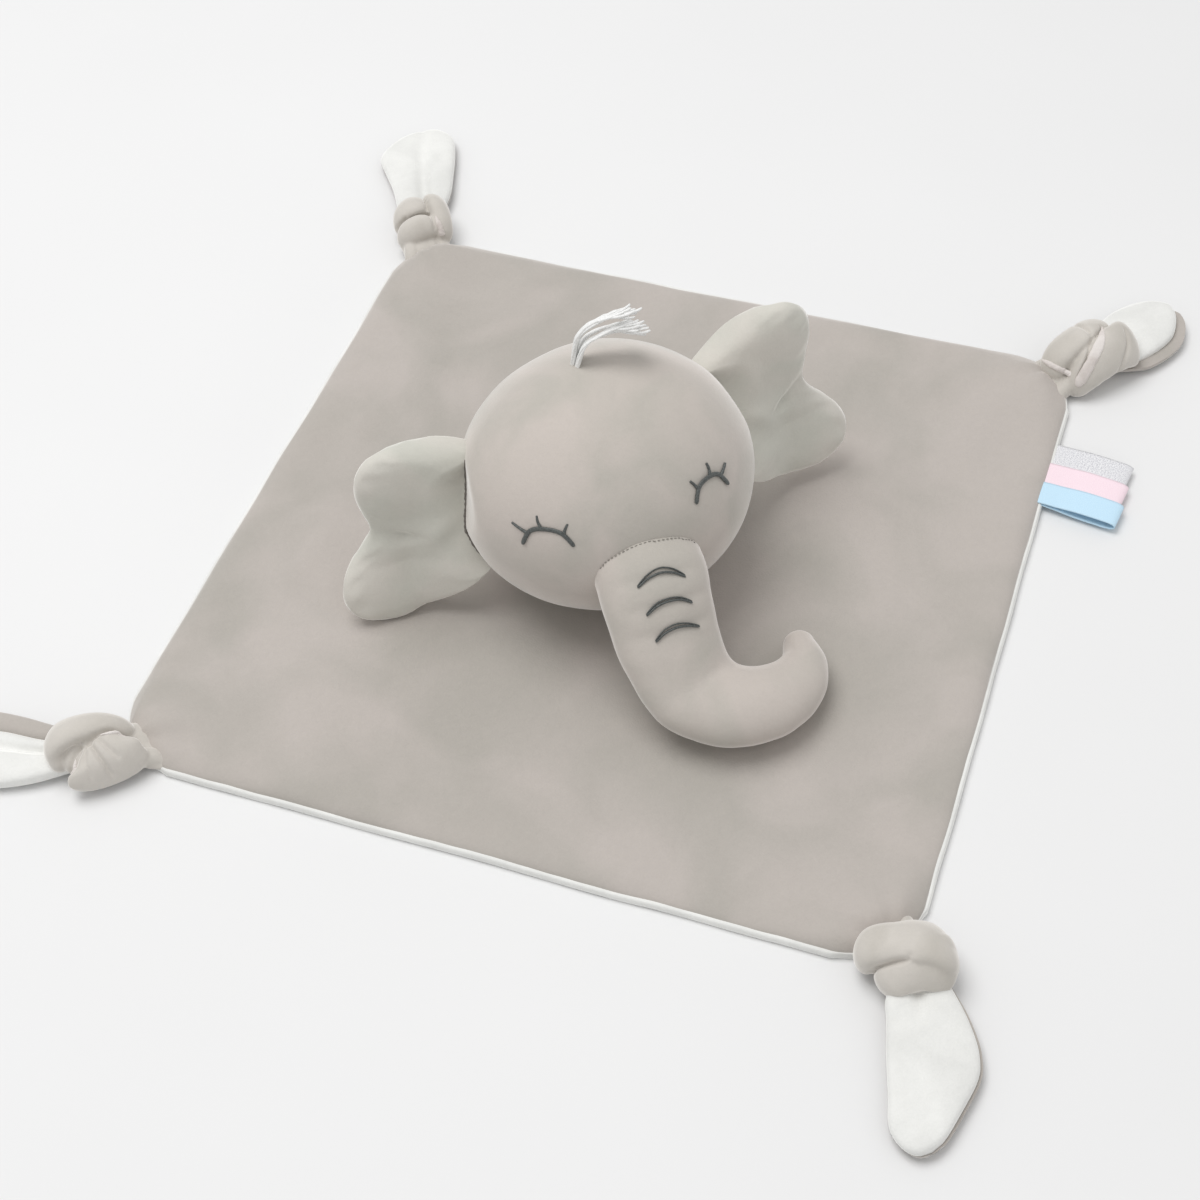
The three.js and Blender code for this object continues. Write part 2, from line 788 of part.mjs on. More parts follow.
// The gathered neck, from its rounded root into the knot, with pleats round it
function neckSolid() {
  const rings = [];
  const sides = 16;
  for (const station of neckStationShares) {
    const within = station < 0;
    const x = within ? station * knot.neckRadius : station * knot.neckLength;
    const grown = smooth(station);
    const wide = THREE.MathUtils.lerp(knot.neckWidth, knot.throatWidth, grown) / 2;
    const rounding = within ? Math.sqrt(1 - station * station) : 1;
    const high = THREE.MathUtils.lerp(knot.neckRadius, knot.throatHeight / 2, grown) * rounding;
    const centre = new THREE.Vector3(x, 0, THREE.MathUtils.lerp(0, knot.throatHeight / 2 + knotFloor, grown));
    rings.push(Array.from({ length: sides }, (_, k) => {
      const angle = (k / sides) * fullTurn;
      const pleat = 1 - pleatShare * grown * (k % 2);
      return centre.clone().add(new THREE.Vector3(
        0,
        Math.cos(angle) * wide * pleat,
        Math.sin(angle) * high * pleat,
      ));
    }));
  }
  const last = rings[rings.length - 1];
  const end = last.reduce((sum, p) => sum.add(p), new THREE.Vector3()).divideScalar(last.length);
  return solidOf(skin([...rings, [end]]));
}

// One turn of the gathered cloth round the knot, as a closed band tilted about the upright
function bandSolid(centre, wide, high, bandWidth, tilt, lean) {
  const steps = 18;
  const rings = [];
  for (let i = 0; i < steps; i += 1) {
    const angle = (i / steps) * fullTurn;
    const outward = new THREE.Vector3(0, Math.cos(angle), Math.sin(angle));
    const at = new THREE.Vector3(0, outward.y * wide, outward.z * high);
    const ring = ellipseRing(
      at,
      new THREE.Vector3(bandWidth / 2, 0, 0),
      outward.multiplyScalar(knot.bandThickness / 2),
      8,
    );
    rings.push(ring.map((p) => p.applyAxisAngle(upward, tilt)
      .applyAxisAngle(new THREE.Vector3(0, 1, 0), lean).add(centre)));
  }
  return solidOf(skin(rings, true));
}

function coreSolid(centre, halfLength, halfAcross, halfUp) {
  const rings = [[centre.clone().add(new THREE.Vector3(-halfLength, 0, 0))]];
  for (const share of [-0.75, -0.35, 0, 0.35, 0.75]) {
    const round = Math.sqrt(1 - share * share);
    rings.push(ellipseRing(
      centre.clone().add(new THREE.Vector3(share * halfLength, 0, 0)),
      new THREE.Vector3(0, halfAcross * round, 0),
      new THREE.Vector3(0, 0, halfUp * round),
      12,
    ));
  }
  rings.push([centre.clone().add(new THREE.Vector3(halfLength, 0, 0))]);
  return solidOf(skin(rings));
}

const knotEndX = knot.middle + knot.length / 2 - knot.endFlat;

// The knot's end face stands across its middle line, turned by endTurn
function knotGeometry({ twist, knotTurn, endTurn }) {
  const middle = new THREE.Vector3(knot.middle, 0, knot.height / 2 + knotFloor - knot.pressed);
  const ringWide = (knot.width - knot.bandThickness) / 2;
  const ringHigh = (knot.height - knot.bandThickness) / 2;
  const shift = (knot.length - knot.bandWidth) / 2;
  const first = middle.clone().add(new THREE.Vector3(shift, 0, 0));
  const second = middle.clone().add(new THREE.Vector3(-shift, 0, -knot.pressed));
  const tilt = twist * knot.bandTilt;
  const share = knot.secondBandShare;
  const core = coreSolid(middle, knot.length / 2, ringWide, ringHigh);
  const firstBand = bandSolid(first, ringWide, ringHigh, knot.bandWidth, tilt, 0);
  const secondBand = bandSolid(second, ringWide * share, ringHigh * share, knot.bandWidth * share, -tilt, -tilt);
  const far = knot.width + knot.length;
  const beyond = (x) => boxSolid(new THREE.Vector3(x, -far, -far), new THREE.Vector3(x + far, far, far));
  const endCut = geometryOf(beyond(0)).rotateZ(endTurn).translate(knotEndX, 0, 0);
  const body = core.add(firstBand).add(secondBand).subtract(solidOf(endCut));
  const floorCut = boxSolid(new THREE.Vector3(-far, -far, -far), new THREE.Vector3(far, far, knotFloor));
  return geometryOf(solidOf(geometryOf(body).rotateZ(knotTurn))
    .subtract(beyond(knot.clear - far))
    .add(neckSolid())
    .subtract(floorCut));
}

// A tail's layers. Its frame: the hinge at the knot's end, +X out along the tail.

const tailFloor = -tail.rootHeight;
const tailRootShares = [0.93, 0.6];
const tailStationShares = [0.14, 0.32, 0.52, 0.7, 0.84, 0.94, 0.985];
const swellShare = 0.45; // of its length, over which a tail grows to its full width
const tipShare = 0.42; // of its length, over which it rounds off at the sewn corner
const bendShare = 0.6; // of its length, over which it bends
const edgeShare = 0.35; // of its thickness, left at its tip

// Half width of a tail at a share of its length: swelling, then round at the sewn corner
function tailHalfWidth(share) {
  const swell = THREE.MathUtils.lerp(tail.rootWidth, tail.width, smooth(share / swellShare)) / 2;
  return swell * roundShare((1 - share) / tipShare);
}

// The tail's way over the floor: straight out of the knot, then bending aside
function tailPlace(share, { tailBend, lengthShare }) {
  const place = new THREE.Vector2();
  const steps = 12;
  const bendAt = (t) => tailBend * smooth(t / bendShare);
  for (let i = 0; i < steps && share > 0; i += 1) {
    const heading = bendAt(((i + 0.5) / steps) * share);
    const step = (share * tail.length * lengthShare) / steps;
    place.add(new THREE.Vector2(Math.cos(heading), Math.sin(heading)).multiplyScalar(step));
  }
  return { place, heading: bendAt(share) };
}

// A ring across a layer: level with the middle on one side, domed on the other. widthShare is how
// much of the width it covers, from the edge on its right.
function layerRing({ place, heading }, halfWide, seamZ, outZ, widthShare) {
  const points = [];
  const steps = 7;
  const aside = new THREE.Vector2(-Math.sin(heading), Math.cos(heading));
  const middle = place.clone().addScaledVector(aside, -halfWide * (1 - widthShare));
  for (let k = 0; k <= steps; k += 1) {
    const angle = (k / steps) * Math.PI;
    const rise = Math.sqrt(Math.max(0, Math.sin(angle)));
    const at = aside.clone().multiplyScalar(widthShare * halfWide * Math.cos(angle)).add(middle);
    points.push(new THREE.Vector3(at.x, at.y, seamZ + (outZ - seamZ) * rise));
  }
  points.push(new THREE.Vector3(middle.x, middle.y, seamZ));
  return points;
}

// The middle sheet between the layers drops from the knot to where the tail lies
function tailMiddleZ(share) {
  return THREE.MathUtils.lerp(0, tailFloor + tail.thickness / 2, smooth(share / bendShare));
}

function tailLayerGeometry(above, corner) {
  const sign = above ? 1 : -1;
  const widthShare = above ? corner.upperShare : 1;
  const rings = [];
  for (const back of tailRootShares) {
    const root = { place: new THREE.Vector2(-tail.rootRadius * back, 0), heading: 0 };
    const high = tail.rootRadius * Math.sqrt(1 - back * back);
    rings.push(layerRing(root, tail.rootWidth / 2, (sign * clothGap) / 2, sign * high, widthShare));
  }
  for (const share of [0, ...tailStationShares]) {
    const middle = tailMiddleZ(share);
    const half = THREE.MathUtils.lerp(tail.rootRadius, tail.thickness / 2, smooth(share / swellShare));
    const high = half * THREE.MathUtils.lerp(edgeShare, 1, roundShare((1 - share) / tipShare));
    const outZ = above ? middle + high : Math.max(middle - high, tailFloor);
    const seamZ = middle + (sign * clothGap) / 2;
    rings.push(layerRing(tailPlace(share, corner), tailHalfWidth(share), seamZ, outZ, widthShare));
  }
  const caps = [rings[0], rings[rings.length - 1]].map((ring) => {
    const sum = ring.reduce((total, p) => total.add(p), new THREE.Vector3());
    return [sum.divideScalar(ring.length)];
  });
  return skin([caps[0], ...rings, caps[1]]);
}

function tiedCorner(corner) {
  const { name, knotTurn, endTurn, whiteUp } = corner;
  const tailGroup = new THREE.Group();
  const tailAt = new THREE.Vector3(clothGap + tail.rootRadius, 0, 0).applyAxisAngle(upward, endTurn);
  tailAt.add(new THREE.Vector3(knotEndX, 0, knotFloor + tail.rootHeight));
  tailGroup.name = `${name}_tail_hinge`;
  tailGroup.position.copy(tailAt.applyAxisAngle(upward, knotTurn));
  tailGroup.rotation.z = knotTurn + endTurn;
  tailGroup.add(
    piece(`${name}_tail_face`, tailLayerGeometry(!whiteUp, corner), colours.blanketGrey),
    piece(`${name}_tail_lining`, tailLayerGeometry(whiteUp, corner), colours.white),
  );

  const knotGroup = new THREE.Group();
  knotGroup.name = `${name}_knot_hinge`;
  knotGroup.position.set(neckFaceAt + clothGap + knot.neckRadius, 0, neckAxisZ);
  knotGroup.add(piece(`${name}_knot`, knotGeometry(corner), colours.blanketGrey), tailGroup);

  const cornerGroup = new THREE.Group();
  cornerGroup.rotation.z = corner.heading * quarterTurn;
  cornerGroup.add(knotGroup);
  return cornerGroup;
}

// The ribbons. Each one's frame: +X out from the seam, the hinge at the origin.

// A ribbon folded over: its two layers meet at the root and open into a loop
function ribbonGeometry() {
  const rootRadius = ribbon.rootThickness / 2;
  const openHalf = ribbon.foldHeight / 2;
  const outer = new THREE.Shape();
  outer.absarc(0, 0, rootRadius, quarterTurn, 3 * quarterTurn, false);
  outer.quadraticCurveTo(ribbon.length / 3, -rootRadius, ribbon.length / 2, -openHalf);
  outer.lineTo(ribbon.length - openHalf, -openHalf);
  outer.absarc(ribbon.length - openHalf, 0, openHalf, -quarterTurn, quarterTurn, false);
  outer.lineTo(ribbon.length / 2, openHalf);
  outer.quadraticCurveTo(ribbon.length / 3, rootRadius, 0, rootRadius);
  const innerHalf = openHalf - ribbon.thickness;
  const slot = new THREE.Path();
  slot.moveTo(ribbon.length / 3, 0);
  slot.lineTo(ribbon.length / 2, innerHalf);
  slot.lineTo(ribbon.length - openHalf, innerHalf);
  slot.absarc(ribbon.length - openHalf, 0, innerHalf, quarterTurn, -quarterTurn, true);
  slot.lineTo(ribbon.length / 2, -innerHalf);
  outer.holes.push(slot);
  const extruded = new THREE.ExtrudeGeometry(outer, {
    depth: ribbon.width, bevelEnabled: false, curveSegments: 5,
  });
  extruded.rotateX(quarterTurn).translate(0, ribbon.width / 2, 0);
  extruded.deleteAttribute("uv");
  extruded.deleteAttribute("normal");
  const welded = mergeVertices(extruded);
  welded.computeVertexNormals();
  return welded;
}

function ribbonLoop(name, colour, place) {
  const sideAt = blanket.side / 2 + blanket.seamRoll;
  const group = new THREE.Group();
  group.name = `${name}_hinge`;
  const z = blanket.liningThickness / 2 + ribbon.foldHeight / 2;
  group.position.set(sideAt + clothGap + ribbon.rootThickness / 2, place, z);
  const lean = new THREE.Group();
  lean.rotation.z = ribbon.lean;
  lean.add(piece(name, ribbonGeometry(), colour, 0.5));
  group.add(lean);
  return group;
}

// Assembly

function blanketGroup() {
  const group = new THREE.Group();
  const square = new THREE.Group();
  square.rotation.z = -quarterTurn / 2;
  const ribbons = [
    ["ribbon_blue", colours.blue, -1], ["ribbon_pink", colours.pink, 0], ["ribbon_silver", colours.silver, 1],
  ];
  ribbons.forEach(([name, colour, step]) => {
    square.add(ribbonLoop(name, colour, ribbon.along + step * ribbon.pitch));
  });
  group.add(
    piece("top_panel", topPanelGeometry(), colours.blanketGrey),
    piece("lining_panel", liningPanelGeometry(), colours.white),
    square,
    ...corners.map(tiedCorner),
  );
  return group;
}

function earGroup(side, name) {
  const at = rolled(earHinge(side));
  return hinged(
    `${name}_ear_hinge`,
    at,
    piece(`${name}_ear_cover`, earCoverGeometry(side), colours.headGrey),
    piece(`${name}_ear_wadding`, earWaddingGeometry(side), colours.fill),
  );
}

function trunkGroup() {
  return hinged(
    "trunk_hinge",
    trunkHinge(),
    piece("trunk_cover", trunkCoverGeometry(), colours.headGrey),
    piece("trunk_stuffing", trunkStuffingGeometry(), colours.fill),
    ...trunkLineShares.map((share, i) => piece(`trunk_line_${i + 1}`, trunkLineGeometry(share), colours.thread)),
  );
}

function headGroup() {
  const group = new THREE.Group();
  group.name = "head_frame";
  group.position.set(head.centreX, head.centreY, headCentreZ);
  group.rotation.z = head.turn;
  const nod = new THREE.Group();
  nod.name = "head_nod_axis";
  nod.position.set(-restShift(), neckStitchRadii()[1], headRestZ);
  const strands = strandShares.map((shares, i) =>
    piece(`forelock_strand_${i + 1}`, strandGeometry(shares), colours.white));
  group.add(
    nod,
    piece("neck_stitching", neckStitchGeometry(), colours.paleThread),
    piece("head_cover", headCoverGeometry(), colours.headGrey),
    piece("head_stuffing", headStuffingGeometry(), colours.fill),
    piece("left_eye_stitching", eyeGeometry(-1), colours.thread),
    piece("right_eye_stitching", eyeGeometry(1), colours.thread),
    earGroup(-1, "left"),
    earGroup(1, "right"),
    trunkGroup(),
    hinged("forelock_hinge", forelockRoot(), ...strands),
  );
  return group;
}

const group = new THREE.Group();
group.add(blanketGroup(), headGroup());

export default group;
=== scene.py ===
# A knotted comfort blanket with a stuffed elephant head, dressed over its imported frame.
# Shapes are worked out in millimetres and scaled to metres when a piece is made.
import math

import bmesh
import bpy
from mathutils import Matrix, Vector, noise
from mathutils.bvhtree import BVHTree
from mathutils.kdtree import KDTree


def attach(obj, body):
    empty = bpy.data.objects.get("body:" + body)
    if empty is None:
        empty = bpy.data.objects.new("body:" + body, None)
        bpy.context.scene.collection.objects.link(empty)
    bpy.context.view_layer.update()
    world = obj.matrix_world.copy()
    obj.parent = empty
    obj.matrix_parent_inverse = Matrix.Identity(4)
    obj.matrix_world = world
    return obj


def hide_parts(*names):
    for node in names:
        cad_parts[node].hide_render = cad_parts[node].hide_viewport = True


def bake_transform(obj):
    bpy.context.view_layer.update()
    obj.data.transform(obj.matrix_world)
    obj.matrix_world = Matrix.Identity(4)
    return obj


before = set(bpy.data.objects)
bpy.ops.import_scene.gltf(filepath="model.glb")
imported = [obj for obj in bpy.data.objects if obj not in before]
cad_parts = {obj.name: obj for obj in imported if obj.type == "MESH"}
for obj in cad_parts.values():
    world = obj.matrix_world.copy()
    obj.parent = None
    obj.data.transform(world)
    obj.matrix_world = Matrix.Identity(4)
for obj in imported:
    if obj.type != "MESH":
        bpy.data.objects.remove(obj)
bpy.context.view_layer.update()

mm = 0.001
upward = Vector((0, 0, 1))
quarterTurn = math.pi / 2
fullTurn = math.pi * 2

print("frame loaded")


# Small sums

def clamp(value, low=0.0, high=1.0):
    return max(low, min(high, value))


def lerp(a, b, share):
    return a + (b - a) * share


def smooth(value):
    share = clamp(value)
    return share * share * (3 - 2 * share)


# 0 at an edge, 1 from where its rounding ends
def roundShare(value):
    left = 1 - clamp(value)
    return math.sqrt(max(0.0, 1 - left * left))


# 1 along a roll, falling off round at both ends, but never to nothing
def roundedEnds(t, share, least=0.02):
    return max(roundShare(t / share) * roundShare((1 - t) / share), least)


def bump(value, middle, wide):
    return math.exp(-(((value - middle) / wide) ** 2))


# soft lumps of a given size, from -1 to 1
def lumps(point, size, seed=0.0):
    return noise.noise(Vector((point.x / size + seed, point.y / size - seed, point.z / size + 2 * seed)))


# several sizes of lumps on each other: rows of height, size and seed
def lumpsOf(point, rows):
    return sum(high * lumps(point, size, seed) for high, size, seed in rows)


# a smooth way through a few points
def wayAt(points, share):
    last = len(points) - 1
    place = clamp(share) * last
    i = min(int(place), last - 1)
    t = place - i
    a, b, c, d = points[max(i - 1, 0)], points[i], points[i + 1], points[min(i + 2, last)]
    return 0.5 * (2 * b + (c - a) * t + (2 * a - 5 * b + 4 * c - d) * t * t + (3 * b - a - 3 * c + d) * t ** 3)


def vectors(rows, scale=(1, 1, 1)):
    return [Vector([value * size for value, size in zip(row, scale)]) for row in rows]


def turned(point, angle, axis="Z"):
    return Matrix.Rotation(angle, 3, axis) @ point


# Making meshes

# a sheet of squares bent into place by a rule: across it by u, along it by v
def addSheet(shape, across, along, place, weld=0.01):
    made = bmesh.ops.create_grid(shape, x_segments=across, y_segments=along, size=0.5)
    for vert in made["verts"]:
        vert.co = place(clamp(vert.co.x + 0.5), clamp(vert.co.y + 0.5))
    if weld:
        bmesh.ops.remove_doubles(shape, verts=made["verts"], dist=weld)


# a closed roll along a way: size gives its half width and half thickness, outAt which way is out
def addRoll(shape, way, size, outAt, steps, sides, skin=None, weld=0.004):
    frames = {}

    def frameAt(t):
        if t not in frames:
            centre = wayAt(way, t)
            ahead = wayAt(way, min(1, t + 0.01)) - wayAt(way, max(0, t - 0.01))
            ahead.normalize()
            out = outAt(centre, t)
            out = (out - ahead * out.dot(ahead)).normalized()
            frames[t] = (centre, ahead.cross(out), out, size(t))
        return frames[t]

    def place(u, v):
        centre, aside, out, (wide, thick) = frameAt(round(v, 5))
        angle = u * fullTurn
        grown = skin(v, angle) if skin else 1
        return centre + aside * (wide * math.cos(angle)) + out * (thick * math.sin(angle) * grown)

    addSheet(shape, sides, steps, place, weld)


# a ball of unit radius, each point of it then put in its place
def addBall(shape, around, high, place):
    made = bmesh.ops.create_uvsphere(shape, u_segments=around, v_segments=high, radius=1)
    for vert in made["verts"]:
        vert.co = place(vert.co)


def closeEnds(shape):
    bmesh.ops.holes_fill(shape, edges=[edge for edge in shape.edges if edge.is_boundary], sides=0)


def easeOnce(shape, verts):
    bmesh.ops.smooth_vert(shape, verts=verts, factor=0.5, use_axis_x=True, use_axis_y=True, use_axis_z=True)


def shadeSmooth(mesh):
    for face in mesh.polygons:
        face.use_smooth = True


# a piece of the scene from a finished shape, moved to its place and riding on its body
def makePiece(name, shape, material, body=None, at=None):
    if at is not None:
        bmesh.ops.transform(shape, matrix=at, verts=shape.verts)
    bmesh.ops.recalc_face_normals(shape, faces=shape.faces)
    bmesh.ops.scale(shape, vec=(mm, mm, mm), verts=shape.verts)
    mesh = bpy.data.meshes.new(name)
    shape.to_mesh(mesh)
    shape.free()
    shadeSmooth(mesh)
    piece = bpy.data.objects.new(name, mesh)
    bpy.context.collection.objects.link(piece)
    mesh.materials.append(material)
    if body:
        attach(piece, body)
    return piece


# a piece that is one bent sheet
def makeSheetPiece(name, across, along, place, material, body=None, weld=0.02, closed=False, at=None):
    shape = bmesh.new()
    addSheet(shape, across, along, place, weld)
    if closed:
        closeEnds(shape)
    return makePiece(name, shape, material, body, at)


# hollows left between melted rolls are taken out, so that the outer skin alone stays
def keepOuterSkin(shape):
    left = set(shape.verts)
    skins = []
    while left:
        edge, skin = [left.pop()], []
        while edge:
            vert = edge.pop()
            skin.append(vert)
            for link in vert.link_edges:
                other = link.other_vert(vert)
                if other in left:
                    left.remove(other)
                    edge.append(other)
        skins.append(skin)
    skins.sort(key=len)
    for skin in skins[:-1]:
        bmesh.ops.delete(shape, geom=skin, context="VERTS")


# melts the rolls of a piece into one skin
def meltTogether(piece, grain, passes):
    melt = piece.modifiers.new("Melt", "REMESH")
    melt.mode = "VOXEL"
    melt.voxel_size = grain * mm
    whole = bpy.data.meshes.new_from_object(piece.evaluated_get(bpy.context.evaluated_depsgraph_get()))
    piece.modifiers.clear()
    shape = bmesh.new()
    shape.from_mesh(whole)
    keepOuterSkin(shape)
    for _ in range(passes):
        easeOnce(shape, shape.verts)
    bmesh.ops.recalc_face_normals(shape, faces=shape.faces)
    shape.to_mesh(piece.data)
    shape.free()
    bpy.data.meshes.remove(whole)
    shadeSmooth(piece.data)


def surfaceOf(piece):
    mesh = piece.data
    return BVHTree.FromPolygons([vert.co for vert in mesh.vertices], [tuple(face.vertices) for face in mesh.polygons])


# Materials

def linear(hexColour):
    values = []
    for i in (1, 3, 5):
        part = int(hexColour[i:i + 2], 16) / 255
        values.append(part / 12.92 if part <= 0.04045 else ((part + 0.055) / 1.055) ** 2.4)
    return (*values, 1)


# feeds inputs by socket, with a value or with another node's output
def feed(tree, node, inputs):
    for socket, value in inputs.items():
        if isinstance(value, bpy.types.NodeSocket):
            tree.links.new(value, node.inputs[socket])
        else:
            node.inputs[socket].default_value = value


def addNode(tree, kind, inputs=None, **settings):
    node = tree.nodes.new("ShaderNode" + kind)
    for name, value in settings.items():
        setattr(node, name, value)
    feed(tree, node, inputs or {})
    return node


# a ramp from a dark to a light colour, gives its colour
def addRamp(tree, value, dark, light, low=0.0, high=1.0):
    ramp = addNode(tree, "ValToRGB", {"Fac": value})
    for end, place, colour in zip(ramp.color_ramp.elements, (low, high), (dark, light)):
        end.position = place
        end.color = linear(colour)
    return ramp.outputs["Color"]


def startMaterial(name):
    material = bpy.data.materials.new(name)
    material.use_nodes = True
    tree = material.node_tree
    return material, tree, tree.nodes["Principled BSDF"]


paintedRimSheen = 0.4  # painted sheen: how much lighter the base colour is painted where the pile is seen from the side


# Knitted polyester velour, sheared short: a matt cloth whose pile lies lighter or darker in broad cloudy patches,
# with single tufts just visible and a soft sheen along its turned-away sides, partly the shader's sheen and partly a
# painted highlight that lightens the base colour there
def shearedVelour(name, pile):
    material, tree, shader = startMaterial(name)
    place = addNode(tree, "TexCoord").outputs["Object"]
    cloud = addNode(tree, "TexNoise", {
        "Vector": place, "Scale": 1 / (pile["patch"] * mm), "Detail": 2.5, "Roughness": 0.5, "Distortion": 0.6,
    })
    tuft = addNode(tree, "TexNoise", {
        "Vector": place, "Scale": 1 / (pile["tuft"] * mm), "Detail": 3, "Roughness": 0.65,
    })
    fibre = addNode(tree, "TexNoise", {
        "Vector": place, "Scale": 1 / (pile["fibre"] * mm), "Detail": 2, "Roughness": 0.7,
    })
    clouds = addRamp(tree, cloud.outputs["Fac"], pile["dark"], pile["light"], 0.36, 0.62)
    speck = addNode(tree, "Math", {0: tuft.outputs["Fac"], 1: fibre.outputs["Fac"]}, operation="ADD")
    shade = addNode(tree, "MapRange", {
        "Value": speck.outputs[0], "From Min": 0.6, "From Max": 1.4,
        "To Min": 1 - pile["speckle"], "To Max": 1 + pile["speckle"],
    })
    mixed = addNode(tree, "VectorMath", {0: clouds, 3: shade.outputs["Result"]}, operation="SCALE")
    # painted highlight: the base colour is lightened where the surface turns away from the camera, standing in for
    # the pile's sheen at its rims
    facing = addNode(tree, "LayerWeight", {"Blend": 0.5}).outputs["Facing"]
    paintedSheenGain = addNode(tree, "MapRange", {
        "Value": facing, "From Min": 0.55, "From Max": 1, "To Min": 1, "To Max": 1 + paintedRimSheen,
    })
    paintedSheenColour = addNode(tree, "VectorMath", {0: mixed.outputs[0], 3: paintedSheenGain.outputs["Result"]}, operation="SCALE")
    low = addNode(tree, "Bump", {
        "Height": tuft.outputs["Fac"], "Strength": 0.5, "Distance": pile["tuftHigh"] * mm,
    })
    high = addNode(tree, "Bump", {
        "Height": fibre.outputs["Fac"], "Strength": 0.6, "Distance": pile["fibreHigh"] * mm,
        "Normal": low.outputs["Normal"],
    })
    rough = addNode(tree, "MapRange", {
        "Value": cloud.outputs["Fac"], "From Min": 0.3, "From Max": 0.7, "To Min": 0.82, "To Max": 0.95,
    })
    feed(tree, shader, {
        "Base Color": paintedSheenColour.outputs[0], "Normal": high.outputs["Normal"], "Roughness": rough.outputs["Result"],
        "Specular IOR Level": 0.2, "Sheen Weight": pile["sheen"], "Sheen Roughness": 0.38,
    })
    return material


blanketVelour = shearedVelour("blanket_sheared_velour", {
    "dark": "#ADA8A1", "light": "#B9B2AC", "patch": 50, "tuft": 2.2, "fibre": 0.7,
    "speckle": 0.035, "tuftHigh": 0.2, "fibreHigh": 0.14, "sheen": 0.8,
})
finePile = {"tuft": 1.8, "fibre": 0.6, "speckle": 0.035, "tuftHigh": 0.16, "fibreHigh": 0.12, "sheen": 0.8}
headVelour = shearedVelour("head_sheared_velour", {
    **finePile, "dark": "#B5B0A8", "light": "#C0B8B1", "patch": 30,
})
# the ears face the lamp less, so they get a copy of the head's velour painted lighter, to make up for the light they
# miss
earVelourPaintedLight = shearedVelour("ear_velour_painted_lighter", {
    **finePile, "dark": "#C8C7BE", "light": "#D0CCC4", "patch": 26,
})
# the tied corners are stretched cloth, a little lighter
knotVelour = shearedVelour("knot_sheared_velour", {
    **finePile, "dark": "#BFBAB2", "light": "#CAC5BE", "patch": 30, "tuft": 2, "fibre": 0.7,
})
liningPlush = shearedVelour("lining_white_plush", {
    "dark": "#DEDEDB", "light": "#E8E8E5", "patch": 24, "tuft": 2.6, "fibre": 0.8,
    "speckle": 0.03, "tuftHigh": 0.35, "fibreHigh": 0.25, "sheen": 0.2,
})
# the turned-out edge of a seam, between the two cloths in colour
seamEdge = shearedVelour("seam_edge_plush", {
    "dark": "#CFC7C2", "light": "#E0DAD6", "patch": 12, "tuft": 1.4, "fibre": 0.6,
    "speckle": 0.04, "tuftHigh": 0.3, "fibreHigh": 0.3, "sheen": 0.2,
})
# Polyester fibre fill: bright, fluffy, carded fibre
fibreFill = shearedVelour("polyester_fibre_fill", {
    "dark": "#F0F0EE", "light": "#FAFAF9", "patch": 9, "tuft": 3.4, "fibre": 1,
    "speckle": 0.02, "tuftHigh": 1.5, "fibreHigh": 0.6, "sheen": 0.1,
})


# Twisted thread: fine turns of a few plies across its length, with a silky or a dull finish
def twistedThread(name, dark, light, turn, rough, sheen):
    material, tree, shader = startMaterial(name)
    place = addNode(tree, "TexCoord").outputs["Object"]
    ply = addNode(tree, "TexNoise", {"Vector": place, "Scale": 1 / (turn * mm), "Detail": 3, "Roughness": 0.6})
    fine = addNode(tree, "Bump", {"Height": ply.outputs["Fac"], "Strength": 0.5, "Distance": 0.2 * mm})
    feed(tree, shader, {
        "Base Color": addRamp(tree, ply.outputs["Fac"], dark, light, 0.35, 0.65), "Normal": fine.outputs["Normal"],
        "Roughness": rough, "Sheen Weight": sheen,
    })
    return material


satinThread = twistedThread("satin_embroidery_thread", "#3A3D3C", "#5A5E5C", 0.5, 0.42, 0.1)
paleThread = twistedThread("pale_sewing_thread", "#A8A39C", "#BAB5AE", 0.4, 0.6, 0.1)
# the ear seams' thread is painted darker than the other seams, as painted shadow in the crease where each ear meets
# the cheek
earSeamShadowThread = twistedThread("ear_seam_painted_shadow_thread", "#5E5953", "#76706A", 0.4, 0.7, 0.1)
seamThread = twistedThread("grey_sewing_thread", "#7F7A74", "#948E88", 0.4, 0.6, 0.1)
whiteYarn = twistedThread("white_wool_yarn", "#E4E4E2", "#F6F6F5", 0.45, 0.85, 0.4)


# Woven satin ribbon: smooth, slightly shiny, with fine ribs across it and a dense edge
def wovenRibbon(name, colour, shine):
    material, tree, shader = startMaterial(name)
    place = addNode(tree, "UVMap").outputs["UV"]
    rib = addNode(tree, "TexWave", {
        "Vector": place, "Scale": shine["ribs"], "Distortion": 0.4, "Detail": 1,
    }, bands_direction="Y")
    fleck = addNode(tree, "TexNoise", {"Vector": place, "Scale": shine["fleck"], "Detail": 2})
    fine = addNode(tree, "Bump", {"Height": rib.outputs["Fac"], "Strength": 0.3, "Distance": 0.1 * mm})
    feed(tree, shader, {
        "Base Color": addRamp(tree, fleck.outputs["Fac"], shine["dark"], colour, 0.4, shine["fleckAt"]),
        "Normal": fine.outputs["Normal"], "Roughness": shine["rough"], "Metallic": shine["metal"],
        "Sheen Weight": 0.1,
    })
    return material


